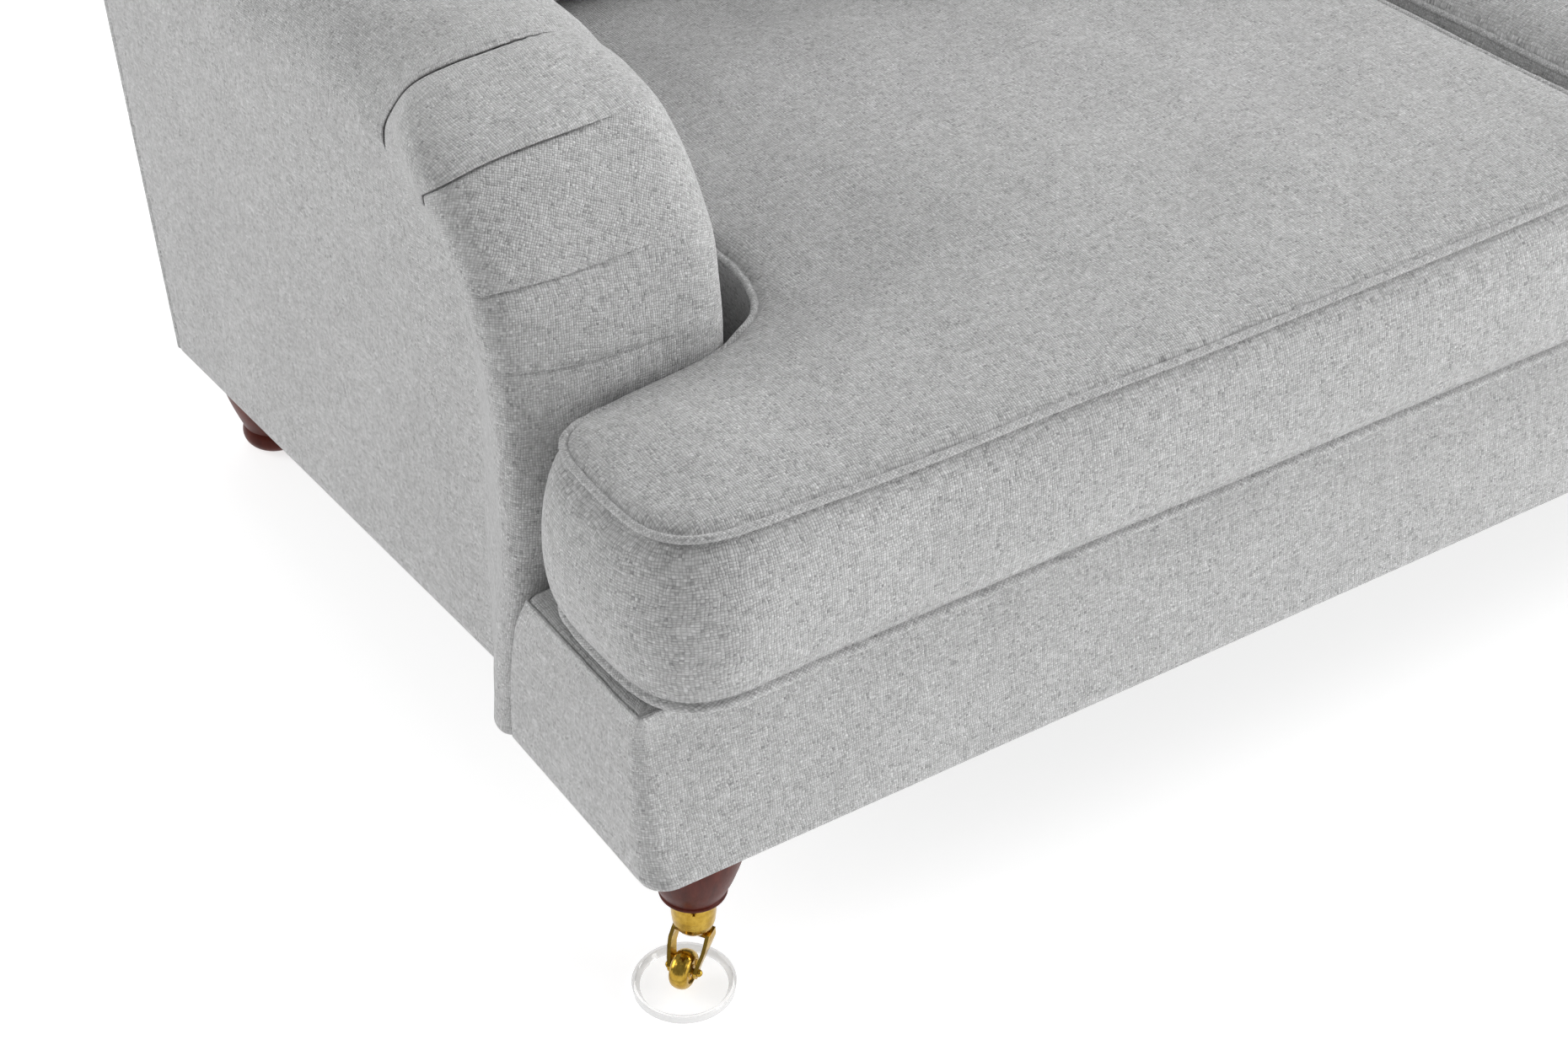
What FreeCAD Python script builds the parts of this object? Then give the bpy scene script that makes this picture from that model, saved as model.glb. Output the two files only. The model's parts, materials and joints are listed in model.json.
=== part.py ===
import FreeCAD, Part
import math, os
from FreeCAD import Vector as V, Matrix

os.makedirs("parts", exist_ok=True)

# Two-seat roll-arm sofa, millimetres. X is the width (symmetric about 0), +Y is
# to the rear, +Z is up. The upholstered body is drawn square in its own frame
# (y_b to the rear, z_b up from its flat underside) and then leans back on its
# legs: the front legs stand on castors and the rear legs stand on the floor.

# ---------------------------------------------------------------- dimensions
LEAN_DEG = 5.5            # body pitched down towards the rear
BASE_AT_FRONT_LEG = 168.0 # height of the underside over the front leg axis
Y_CENTRE = 443.58         # front leg axis to the middle of the whole box

FRONT_LEG_X = 835.0       # leg axis from the mid-plane
REAR_LEG_X = 805.0
REAR_LEG_Y = 768.0        # rear leg axis behind the front leg axis

BORDER_X = 912.0          # half width of the front border box
BORDER_Y0 = -80.0         # its front face
BORDER_H = 158.0          # its height
DECK_TOP = 158.0

ARM_OUT = 865.0           # outside arm panel
ARM_IN = 701.0            # inside arm face
ARM_TOP = 475.0
ARM_CAV_OUT = 853.0
ARM_CAV_IN = 722.0
ARM_CAV_TOP = 385.0
ARM_RIDGE_TOP = 430.0    # raised middle of the arm's hollow

BACK_Y_OUT = 833.0        # outside back at the underside
BACK_RAKE = 0.103         # backward run per unit of height
BACK_TOP = 760.0
BACK_THICK = 125.0
BACK_HALF = 815.0         # half width of the back above the arms
PANEL_T = 12.0            # outside back panel

FRAME_Z0 = 3.0            # underside of the wooden frame
RAIL_TOP = 130.0
RAIL_T = 25.0

CUSHION_Z0 = 158.4
CUSHION_Z1 = 300.0
CUSHION_Y0 = -110.0
CUSHION_Y1 = 719.0
CUSHION_X_IN = 1.5        # half the gap between the two cushions
CUSHION_X_OUT = 684.0     # beside the arm
EAR_X = 905.0             # in front of the arm

BACK_CUSHION_Z0 = 300.6
BACK_CUSHION_H = 462.0
BACK_CUSHION_T = 160.0
BACK_CUSHION_X_OUT = 676.0

LEG_WOOD_H = 93.0
FERRULE_TOP = 82.0
FERRULE_BOTTOM = 46.0
SPIGOT_R = 14.5
SPINDLE_R = 4.0
SPINDLE_CLEAR = 0.05
TRAIL = 19.5
WHEEL_R = 15.5
WHEEL_W = 15.0
AXLE_R = 2.5
AXLE_CLEAR = 0.05
DISH_R = 39.0
DISH_BASE = 3.0
DISH_H = 8.0
WHEEL_Z = DISH_BASE + 0.3 + WHEEL_R
CASTOR_TURN = 214.5       # heading of the trail from +X

SPRING_WIRE_R = 1.9
SPRING_X = (110.0, 270.0, 430.0, 590.0)
SPRING_ARC_R = 19.25
SPRING_ARCS = 22

nodes = {}


# ------------------------------------------------------------------- helpers
def box(x0, x1, y0, y1, z0, z1):
    return Part.makeBox(x1 - x0, y1 - y0, z1 - z0, V(x0, y0, z0))


def lean(s):
    s = s.copy()
    s.rotate(V(0, 0, 0), V(1, 0, 0), -LEAN_DEG)
    s.translate(V(0, -Y_CENTRE, BASE_AT_FRONT_LEG))
    return s


def mirror(s):
    return s.mirror(V(0, 0, 0), V(1, 0, 0))


def cut_all(s, tools):
    for t in tools:
        s = s.cut(t)
    return s


def biggest(s):
    """Drop slivers that a boolean may leave beside the main solid."""
    sol = sorted(s.Solids, key=lambda q: q.Volume)
    return sol[-1] if sol else s


def compound(lst):
    out = []
    for s in lst:
        out += s.Solids
    return Part.makeCompound(out)


def poly_yz(pts, x0, x1):
    w = Part.makePolygon([V(x0, y, z) for y, z in pts] + [V(x0, pts[0][0], pts[0][1])])
    return Part.Face(w).extrude(V(x1 - x0, 0, 0))


def poly_xy(pts, z0, z1):
    w = Part.makePolygon([V(x, y, z0) for x, y in pts] + [V(pts[0][0], pts[0][1], z0)])
    return Part.Face(w).extrude(V(0, 0, z1 - z0))


def spline_edge(pts):
    c = Part.BSplineCurve()
    c.interpolate(pts)
    return c.toShape()


def y_out(z):
    return BACK_Y_OUT + BACK_RAKE * z


def raked(y0, y1, z0, z1, x0, x1):
    """Slab between two lines that follow the rake; y0 and y1 are taken at z_b = 0."""
    return poly_yz([(y0 + BACK_RAKE * z0, z0), (y1 + BACK_RAKE * z0, z0),
                    (y1 + BACK_RAKE * z1, z1), (y0 + BACK_RAKE * z1, z1)], x0, x1)


def revolve_z(pts, cx=0.0, cy=0.0):
    w = Part.makePolygon([V(r, 0, z) for r, z in pts] + [V(pts[0][0], 0, pts[0][1])])
    s = Part.Face(w).revolve(V(0, 0, 0), V(0, 0, 1), 360)
    s = Part.Solid(s.Shells[0]) if s.ShapeType != "Solid" else s
    s.translate(V(cx, cy, 0))
    return s


# --------------------------------------------------- wooden frame (body frame)
front_rail = box(-885, 885, -55, -30, FRAME_Z0, RAIL_TOP)
side_rail = box(-765, -740, -30, 793, FRAME_Z0, RAIL_TOP)
back_rail = box(-850, 850, 793, 818, FRAME_Z0, RAIL_TOP)
centre_bearer = box(-12.5, 12.5, -30, 793, FRAME_Z0, 95)
front_block = box(-885, -765, -30, 60, FRAME_Z0, 90)
rear_block = box(-850, -790, 708, 793, FRAME_Z0, 90)
arm_front_post = box(-830, -765, 190, 215, FRAME_Z0, 408)
arm_top_rail = box(-830, -750, 190, 795, 408, ARM_RIDGE_TOP)
back_post = raked(753, 790, FRAME_Z0, 735, -790, -765)
back_post = back_post.cut(back_rail).cut(box(-900, -700, 790, 830, 0, 131))
arm_top_rail = cut_all(arm_top_rail, [back_post])
top_back_rail = raked(759, 784, 690, 735, -765, 765)
back_stay = raked(759, 784, 130, 690, -12.5, 12.5)
back_stay = back_stay.cut(back_rail)
arm_slat = box(-845, -820, 215, 770, 150, 190)

# ----------------------------------------------------------- springs and webs
def spring(xc):
    y = -42.0
    a = 12.0
    z = RAIL_TOP + 0.3 + SPRING_WIRE_R
    edges = [Part.makeLine(V(xc, y, z), V(xc + a, y, z))]
    side = 1
    for i in range(SPRING_ARCS):
        p0 = V(xc + side * a, y, z)
        p1 = V(xc + side * (a + SPRING_ARC_R), y + SPRING_ARC_R, z)
        p2 = V(xc + side * a, y + 2 * SPRING_ARC_R, z)
        edges.append(Part.Arc(p0, p1, p2).toShape())
        y += 2 * SPRING_ARC_R
        last = i == SPRING_ARCS - 1
        nx = xc if last else xc - side * a
        edges.append(Part.makeLine(p2, V(nx, y, z)))
        side = -side
    path = Part.Wire(edges)
    circ = Part.Wire(Part.makeCircle(SPRING_WIRE_R, V(xc, -42.0, z), V(1, 0, 0)))
    s = path.makePipeShell([circ], True, False)
    return s if s.ShapeType == "Solid" else Part.Solid(s.Shells[0])


spring0 = spring(0.0)
springs, clips = [], []
for sx in [-q for q in reversed(SPRING_X)] + list(SPRING_X):
    s = spring0.copy()
    s.translate(V(sx, 0, 0))
    springs.append(s)
    clips.append(box(sx - 4, sx + 13, -52, -33, RAIL_TOP, RAIL_TOP + 8).cut(s))
    clips.append(box(sx - 13, sx + 4, 796, 815, RAIL_TOP, RAIL_TOP + 8).cut(s))
clips = [biggest(c) for c in clips]

webs = []
for z0 in (200, 310, 420, 530, 630):
    webs.append(raked(750.6, 752.9, z0, z0 + 50, -790, 790))

arm_top_rail = biggest(cut_all(arm_top_rail, webs))

# --------------------------------------------------------------- arm (left)
# side-view outline of the arm: overhanging pleated front, flat top
arm_front = [(148, 0), (142, 80), (130, 160), (115, 240), (108, 300), (110, 340),
             (123, 375), (140, 405), (165, 437), (196, 459), (236, 470), (290, ARM_TOP)]
e = [spline_edge([V(-1000, y, z) for y, z in arm_front]),
     Part.makeLine(V(-1000, 290, ARM_TOP), V(-1000, y_out(ARM_TOP) - PANEL_T, ARM_TOP)),
     Part.makeLine(V(-1000, y_out(ARM_TOP) - PANEL_T, ARM_TOP), V(-1000, y_out(0) - PANEL_T, 0)),
     Part.makeLine(V(-1000, y_out(0) - PANEL_T, 0), V(-1000, 148, 0))]
arm_side = Part.Face(Part.Wire(e)).extrude(V(400, 0, 0))

arm_sec = [(-ARM_OUT, 380), (-859, 424), (-838, 455), (-806, 471), (-770, ARM_TOP),
           (-732, 470), (-708, 452), (-696, 424), (-693, 392), (-697, 345), (-ARM_IN, 300)]
e = [spline_edge([V(x, -100, z) for x, z in arm_sec]),
     Part.makeLine(V(-ARM_IN, -100, 300), V(-ARM_IN, -100, 0)),
     Part.makeLine(V(-ARM_IN, -100, 0), V(-ARM_OUT, -100, 0)),
     Part.makeLine(V(-ARM_OUT, -100, 0), V(-ARM_OUT, -100, 380))]
arm_tube = Part.Face(Part.Wire(e)).extrude(V(0, 1200, 0))
arm = arm_tube.common(arm_side)

# the padded front stands proud of the outside panel and is rounded in plan
plan = [(-ARM_OUT + 1, 250), (-880, 236), (-894, 214), (-903, 186), (-905, 162),
        (-899, 140), (-880, 122), (-850, 100), (-850, 250)]
bulge = poly_xy(plan, 0, 330)
top = poly_xy([(-ARM_OUT + 1, 250), (-872, 236), (-880, 214), (-884, 186), (-884, 162),
               (-880, 140), (-868, 122), (-850, 100), (-850, 250)], 330, 395)
arm = arm.fuse(bulge.common(arm_side)).fuse(top.common(arm_side)).removeSplitter()

# the inner front edge of the arm is rounded in plan
inner_round = poly_xy([(-745, 80), (-745, 113), (-727, 123), (-713, 142), (-704, 168), (-700.9, 195),
                       (-680, 195), (-680, 80)], -5, 436)
arm = arm.cut(inner_round)

arm_cavity = box(-ARM_CAV_OUT, -ARM_CAV_IN, 190, 1200, -5, ARM_CAV_TOP)
arm_ridge = box(-832, -748, 190, 1200, -5, ARM_RIDGE_TOP)
arm_open = box(-ARM_CAV_OUT, -600, 190, 1200, -5, 136)
frame_left = [side_rail, front_block, rear_block, arm_front_post, arm_top_rail,
              back_post, arm_slat, back_rail, front_rail] + webs
arm = cut_all(arm, [arm_cavity, arm_ridge, arm_open] + frame_left)
arm = biggest(arm)

# -------------------------------------------------------------- back and base
panel = raked(BACK_Y_OUT - PANEL_T, BACK_Y_OUT, 0, BACK_TOP, -BACK_HALF, BACK_HALF)
slab = raked(BACK_Y_OUT - BACK_THICK, BACK_Y_OUT - PANEL_T, 136.2, BACK_TOP, -BACK_HALF, BACK_HALF)
hollow = raked(BACK_Y_OUT - 90, BACK_Y_OUT - PANEL_T + 1, 0, BACK_TOP - 34, -793, 793)


def round_top(s, r, half, y_pad=60):
    """Round the two top corners seen from behind."""
    for sx in (-1, 1):
        cx, cz = sx * (half - r), BACK_TOP - r
        blk = box(min(cx, cx + sx * (r + 30)), max(cx, cx + sx * (r + 30)), 600, 1100, cz, cz + r + 30)
        cyl = Part.makeCylinder(r, 600, V(cx, 550, cz), V(0, 1, 0))
        s = s.cut(blk.cut(cyl))
    return s


panel = round_top(panel, 62, BACK_HALF)
arm_end = arm_tube.common(raked(BACK_Y_OUT - PANEL_T, BACK_Y_OUT, 0, 500, -1000, -600))
panel = panel.fuse(arm_end).fuse(mirror(arm_end)).removeSplitter()
slab = round_top(slab, 62, BACK_HALF)
slab = slab.cut(hollow)
arm_r = mirror(arm)
full_tube = arm_tube.common(arm_side).cut(inner_round)
slab = slab.cut(full_tube).cut(mirror(full_tube))
slab = cut_all(slab, [back_post, mirror(back_post), top_back_rail, back_stay] + webs)
slab = biggest(slab)

border = box(-BORDER_X, BORDER_X, BORDER_Y0, 22, 0, BORDER_H)
for sx in (-1, 1):
    border = border.fuse(box(min(sx * ARM_IN, sx * BORDER_X), max(sx * ARM_IN, sx * BORDER_X), 22, 160, 0, BORDER_H))
border = border.removeSplitter()
corners = [ed for ed in border.Edges if abs(ed.Length - BORDER_H) < 0.01
           and abs(abs(ed.CenterOfMass.x) - BORDER_X) < 0.01 and abs(ed.CenterOfMass.y - BORDER_Y0) < 0.01]
border = border.makeFillet(14, corners)
arm_solid = arm_tube.common(arm_side).fuse(bulge.common(arm_side)).cut(inner_round)
border = border.cut(arm_solid).cut(mirror(arm_solid))
border = border.cut(box(-885, 885, -55, 23, -5, 139))
for sx in (-1, 1):
    border = border.cut(box(min(sx * 700, sx * 885), max(sx * 700, sx * 885), 22, 100, -5, 139))
rails = [side_rail, mirror(side_rail)]
border = cut_all(border, rails)
border = biggest(border)

deck = box(-ARM_IN + 0.5, ARM_IN - 0.5, 22.5, 720, 136.3, DECK_TOP)

# --------------------------------------------------------------- seat cushion
ear = [(-EAR_X + 45, CUSHION_Y0), (-EAR_X + 20, CUSHION_Y0 + 9), (-EAR_X + 6, CUSHION_Y0 + 26),
       (-EAR_X, CUSHION_Y0 + 52), (-EAR_X, 40), (-EAR_X + 8, 58), (-EAR_X + 26, 71), (-838, 89),
       (-776, 98), (-745, 102), (-714, 109), (-690, 121), (-674, 142), (-661, 180), (-655, 222),
       (-672, 320), (-CUSHION_X_OUT, 420), (-CUSHION_X_OUT, CUSHION_Y1),
       (-CUSHION_X_IN, CUSHION_Y1), (-CUSHION_X_IN, CUSHION_Y0)]


def cushion_solid():
    s = poly_xy(ear, CUSHION_Z0, CUSHION_Z1)
    eds = [ed for ed in s.Edges if ed.BoundBox.ZLength < 0.01]
    for r in (16.0, 9.0, 4.0):
        try:
            c = s.makeChamfer(r, eds)
            if c.isValid() and c.Volume > 0:
                return c
        except Exception:
            pass
    return s


seat_cushion = cushion_solid()

# --------------------------------------------------------------- back cushion
bc_y0 = BACK_Y_OUT - BACK_THICK - 0.8
bc = raked(bc_y0 - BACK_CUSHION_T, bc_y0, BACK_CUSHION_Z0, BACK_CUSHION_Z0 + BACK_CUSHION_H,
           -BACK_CUSHION_X_OUT, -CUSHION_X_IN)
for r in (38.0, 24.0, 12.0):
    try:
        c = bc.makeFillet(r, bc.Edges)
        if c.isValid() and c.Volume > 0:
            back_cushion = c
            break
    except Exception:
        back_cushion = bc

# ------------------------------------------------ legs, bolts (upright, row frame)
above = lean(box(-1500, 1500, -300, 1200, FRAME_Z0, 700))


def leg_body(cx, cy, z0):
    low = [(0, 0), (20, 0)]
    bead = Part.Arc(V(20, 0, 0), V(28.4, 0, 9.5), V(26.2, 0, 20.5)).toShape()
    step = Part.makeLine(V(26.2, 0, 20.5), V(27.4, 0, 21.6))
    flare = spline_edge([V(27.4, 0, 21.6), V(31.8, 0, 33), V(37.0, 0, 48), V(41.4, 0, 64),
                         V(44.2, 0, 82), V(45.0, 0, 118)])
    e = [Part.makeLine(V(0, 0, 0), V(20, 0, 0)), bead, step, flare,
         Part.makeLine(V(45.0, 0, 118), V(0, 0, 118)), Part.makeLine(V(0, 0, 118), V(0, 0, 0))]
    s = Part.Face(Part.Wire(e)).revolve(V(0, 0, 0), V(0, 0, 1), 360)
    s = s if s.ShapeType == "Solid" else Part.Solid(s.Shells[0])
    s.translate(V(cx, cy, z0))
    return s


FY = -Y_CENTRE
RY = REAR_LEG_Y - Y_CENTRE
# the front leg is the same turning, cut short above the bead and finished with a thin lip over the ferrule
lip = Part.Arc(V(23.6, 0, FERRULE_TOP), V(25.7, 0, FERRULE_TOP + 2.1), V(25.0, 0, FERRULE_TOP + 4.4)).toShape()
front_flare = spline_edge([V(25.0, 0, FERRULE_TOP + 4.4), V(27.1, 0, 91.5), V(30.2, 0, 98.5), V(32.7, 0, 105.5), V(35.8, 0, 115),
                           V(39.3, 0, 128), V(42.6, 0, 145), V(44.6, 0, 165), V(45.0, 0, 193)])
front_leg = Part.Face(Part.Wire([Part.makeLine(V(0, 0, FERRULE_TOP), V(23.6, 0, FERRULE_TOP)), lip, front_flare,
                                 Part.makeLine(V(45.0, 0, 193), V(0, 0, 193)),
                                 Part.makeLine(V(0, 0, 193), V(0, 0, FERRULE_TOP))])).revolve(V(0, 0, 0), V(0, 0, 1), 360)
front_leg = front_leg if front_leg.ShapeType == "Solid" else Part.Solid(front_leg.Shells[0])
front_leg.translate(V(-FRONT_LEG_X, FY, 0))
front_leg = front_leg.fuse(Part.makeCylinder(SPIGOT_R, FERRULE_TOP - 56 + 1, V(-FRONT_LEG_X, FY, 56))).removeSplitter()
front_leg = biggest(front_leg.cut(above))
rear_leg = leg_body(-REAR_LEG_X, RY, 2.0)
rear_leg = biggest(rear_leg.cut(above))


def bolt(cx, cy, z_under):
    return Part.makeCylinder(4.0, 82, V(cx, cy, z_under - 42))


def insert(cx, cy, z_under, b):
    s = Part.makeCylinder(6.5, 16, V(cx, cy, z_under + 14))
    return s.cut(b)


z_front = BASE_AT_FRONT_LEG + 3.0
z_rear = BASE_AT_FRONT_LEG + 3.0 - 778.0 * math.sin(math.radians(LEAN_DEG))
bolts, inserts = [], []
for cx, cy, zu in ((-FRONT_LEG_X, FY, z_front), (-REAR_LEG_X, RY, z_rear)):
    b = bolt(cx, cy, zu)
    bolts.append(b)
    inserts.append(insert(cx, cy, zu, b))
front_leg = front_leg.cut(bolts[0])
rear_leg = rear_leg.cut(bolts[1])
bolts_all = bolts + [mirror(b) for b in bolts]
inserts_all = inserts + [mirror(b) for b in inserts]

glide = Part.makeCylinder(14, 2.0, V(-REAR_LEG_X, RY, 0)).fuse(Part.makeCylinder(1.3, 14, V(-REAR_LEG_X, RY, 1.0)))
glide = glide.removeSplitter()
rear_leg = rear_leg.cut(Part.makeCylinder(1.3, 14, V(-REAR_LEG_X, RY, 1.0)))

blocks = [lean(front_block), lean(rear_block)]
blocks = [blocks[0].cut(bolts[0]).cut(Part.makeCylinder(6.5, 16, V(-FRONT_LEG_X, FY, z_front + 14))),
          blocks[1].cut(bolts[1]).cut(Part.makeCylinder(6.5, 16, V(-REAR_LEG_X, RY, z_rear + 14)))]
blocks_all = blocks + [mirror(b) for b in blocks]

# dust cover: thin cloth across the underside, holed for the legs
edge = [(884.4, -54.4), (884.4, 99.4), (700.4, 99.4), (700.4, 190.6), (852.4, 190.6), (852.4, 820.4)]
dust = poly_xy([(-x, y) for x, y in reversed(edge)] + edge, 0.4, 2.0)
rear_hole_y = REAR_LEG_Y * math.cos(math.radians(LEAN_DEG)) + 74.0 * math.sin(math.radians(LEAN_DEG))
for hx, hy in ((FRONT_LEG_X, 0.0), (REAR_LEG_X, rear_hole_y)):
    for sx in (-1, 1):
        dust = dust.cut(Part.makeCylinder(46.4, 10, V(sx * hx, hy, -4)))
dust = lean(biggest(dust))

# ------------------------------------------------------------- castor (local)
# local frame: u = trail direction = X, v = axle direction = Y, origin on the
# swivel axis at floor level


def revolve_y(pts):
    """Revolve an (axial, radius) outline about the axle through the wheel centre."""
    w = Part.makePolygon([V(TRAIL + r, v, WHEEL_Z) for v, r in pts]
                         + [V(TRAIL + pts[0][1], pts[0][0], WHEEL_Z)])
    s = Part.Face(w).revolve(V(TRAIL, 0, WHEEL_Z), V(0, 1, 0), 360)
    return s if s.ShapeType == "Solid" else Part.Solid(s.Shells[0])


ferrule = revolve_z([(17.2, FERRULE_TOP), (17.2, 70), (16.9, 62), (16.2, 55), (15.0, 50.5), (13.2, 47.6),
                     (11.0, FERRULE_BOTTOM), (SPINDLE_R + SPINDLE_CLEAR, FERRULE_BOTTOM),
                     (SPINDLE_R + SPINDLE_CLEAR, 50), (12.2, 50), (12.2, 56), (SPIGOT_R, 56),
                     (SPIGOT_R, FERRULE_TOP)])
screws = []
for a in (25.0, 205.0):
    d = V(math.cos(math.radians(a)), math.sin(math.radians(a)), 0)
    s = Part.makeCylinder(1.1, 12, d * 7.5 + V(0, 0, 73), d)
    s = s.fuse(Part.makeCylinder(2.2, 1.2, d * 16.6 + V(0, 0, 73), d)).removeSplitter()
    screws.append(s)
ferrule = cut_all(ferrule, screws)

spindle = Part.makeCylinder(SPINDLE_R, 50.3 - 42.9, V(0, 0, 42.9))
spindle = spindle.fuse(revolve_z([(0, 50.3), (8, 50.3), (7.2, 52.2), (5, 53.4), (0, 53.8)])).removeSplitter()

# each fork arm is a bent strip: its side outline (u, z) crossed with its bends (v, z)
side_pts = [(-5, 45.7), (6.5, 45.7), (12.0, 40.5), (TRAIL + 4.4, 21.4), (TRAIL - 4.4, 16.9), (6.0, 32.5), (-5, 38.0)]
bend_pts = [(15.0, 45.7), (15.4, 40.0), (14.8, 34.0), (13.3, 27.0), (12.0, 22.6), (11.2, 18.8), (11.2, 12.0),
            (8.5, 12.0), (8.5, 19.2), (9.3, 23.6), (10.6, 28.2), (12.0, 34.8), (12.5, 40.0), (12.0, 45.7)]


def fork_arm(sv):
    w = Part.makePolygon([V(u, -20, z) for u, z in side_pts] + [V(side_pts[0][0], -20, side_pts[0][1])])
    outline = Part.Face(w).extrude(V(0, 40, 0))
    outline = outline.fuse(Part.makeCylinder(5.0, 40, V(TRAIL, -20, WHEEL_Z), V(0, 1, 0)))
    w = Part.makePolygon([V(-10, sv * v, z) for v, z in bend_pts] + [V(-10, sv * bend_pts[0][0], bend_pts[0][1])])
    return outline.common(Part.Face(w).extrude(V(45, 0, 0)))


crown = Part.makeBox(11.5, 30.8, 2.8, V(-5, -15.4, 42.9)).common(Part.makeCylinder(16.0, 2.8, V(0, 0, 42.9)))
fork = crown.fuse(fork_arm(1)).fuse(fork_arm(-1)).removeSplitter()
axle = Part.makeCylinder(AXLE_R, 24, V(TRAIL, -12, WHEEL_Z), V(0, 1, 0))
for sv in (-1, 1):
    axle = axle.fuse(Part.makeSphere(3.0, V(TRAIL, sv * 11.9, WHEEL_Z)))
axle = axle.removeSplitter()
fork = biggest(fork.cut(spindle).cut(axle))

hw = WHEEL_W / 2
bore = AXLE_R + AXLE_CLEAR
rim = [(-hw, 9.6), (-hw, 10.6), (-7.1, 12.0), (-6.2, 13.3), (-4.9, 14.4), (-3.1, 15.15), (-1.2, WHEEL_R)]
face = [(-hw + 0.6, bore), (-hw + 0.6, 4.8), (-hw + 1.6, 5.4), (-hw + 1.6, 8.8)]
wheel = revolve_y(face + rim + [(-v, r) for v, r in reversed(face + rim)])
dish = revolve_z([(0, 0), (37.4, 0), (38.4, 1.0), (DISH_R, 7.0), (38.4, DISH_H), (36.4, DISH_H), (35.6, 7.2),
                  (33.8, 4.0), (33.0, DISH_BASE), (0, DISH_BASE)], TRAIL, 0)


def place_castor(s):
    s = s.copy()
    s.rotate(V(0, 0, 0), V(0, 0, 1), CASTOR_TURN)
    s.translate(V(-FRONT_LEG_X, FY, 0))
    return s


ferrule_l = place_castor(ferrule)
screws_l = [place_castor(s) for s in screws]
front_leg = biggest(cut_all(front_leg, screws_l))

# ---------------------------------------------------------------- node table
nodes["front_rail"] = lean(front_rail)
nodes["back_rail"] = lean(back_rail)
nodes["side_rail_left"] = lean(side_rail)
nodes["side_rail_right"] = lean(mirror(side_rail))
nodes["centre_bearer"] = lean(centre_bearer)
nodes["corner_blocks"] = compound(blocks_all)
nodes["arm_front_post_left"] = lean(arm_front_post)
nodes["arm_front_post_right"] = lean(mirror(arm_front_post))
nodes["arm_top_rail_left"] = lean(arm_top_rail)
nodes["arm_top_rail_right"] = lean(mirror(arm_top_rail))
nodes["arm_tacking_slat_left"] = lean(arm_slat)
nodes["arm_tacking_slat_right"] = lean(mirror(arm_slat))
nodes["back_post_left"] = lean(back_post)
nodes["back_post_right"] = lean(mirror(back_post))
nodes["top_back_rail"] = lean(top_back_rail)
nodes["back_centre_stay"] = lean(back_stay)
nodes["seat_springs"] = compound([lean(s) for s in springs])
nodes["spring_clips"] = compound([lean(s) for s in clips])
nodes["back_webbing"] = compound([lean(s) for s in webs])
nodes["seat_deck"] = lean(deck)
nodes["arm_upholstery_left"] = lean(arm)
nodes["arm_upholstery_right"] = lean(arm_r)
nodes["back_upholstery"] = lean(slab)
nodes["outside_back_panel"] = lean(panel)
nodes["front_border"] = lean(border)
nodes["dust_cover"] = dust
nodes["seat_cushion_left"] = lean(seat_cushion)
nodes["seat_cushion_right"] = lean(mirror(seat_cushion))
nodes["back_cushion_left"] = lean(back_cushion)
nodes["back_cushion_right"] = lean(mirror(back_cushion))
nodes["front_leg_left"] = front_leg
nodes["front_leg_right"] = mirror(front_leg)
nodes["rear_leg_left"] = rear_leg
nodes["rear_leg_right"] = mirror(rear_leg)
nodes["leg_bolts"] = compound(bolts_all)
nodes["threaded_inserts"] = compound(inserts_all)
nodes["rear_glides"] = compound([glide, mirror(glide)])
nodes["castor_ferrule_left"] = ferrule_l
nodes["castor_ferrule_right"] = mirror(ferrule_l)
nodes["ferrule_screws"] = compound(screws_l + [mirror(s) for s in screws_l])
for nm, sh in (("castor_spindle", spindle), ("castor_fork", fork), ("castor_axle", axle),
               ("castor_wheel", wheel), ("castor_dish", dish)):
    p = place_castor(sh)
    nodes[nm + "_left"] = p
    nodes[nm + "_right"] = mirror(p)

bb = None
for name, s in nodes.items():
    if not s.isValid():
        print("not valid:", name)
    s.exportStep("parts/%s.step" % name)
    b = s.BoundBox
    bb = FreeCAD.BoundBox(b) if bb is None else bb.united(b)
    print("%-26s solids %2d  vol %.1f cm3" % (name, len(s.Solids), s.Volume / 1000.0))
print("nodes", len(nodes))
print("box x %.2f %.2f  y %.2f %.2f  z %.2f %.2f" % (bb.XMin, bb.XMax, bb.YMin, bb.YMax, bb.ZMin, bb.ZMax))
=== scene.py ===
import bpy
import bmesh
import json
import math
import numpy as np
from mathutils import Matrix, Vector
from mathutils.geometry import delaunay_2d_cdt


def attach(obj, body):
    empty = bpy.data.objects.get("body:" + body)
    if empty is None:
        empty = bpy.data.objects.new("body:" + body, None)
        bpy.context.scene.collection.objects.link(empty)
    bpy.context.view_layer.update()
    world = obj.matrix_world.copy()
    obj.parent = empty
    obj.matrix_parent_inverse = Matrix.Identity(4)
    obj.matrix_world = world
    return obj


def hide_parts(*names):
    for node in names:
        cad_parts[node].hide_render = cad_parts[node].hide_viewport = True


# Two-seat sofa with pleated roll arms. The upholstered pieces are drawn in the body frame
# (x across, y to the rear, z up from the flat underside, in metres), which leans back by
# LEAN on the legs, and are then carried into the row frame by row().

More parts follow.
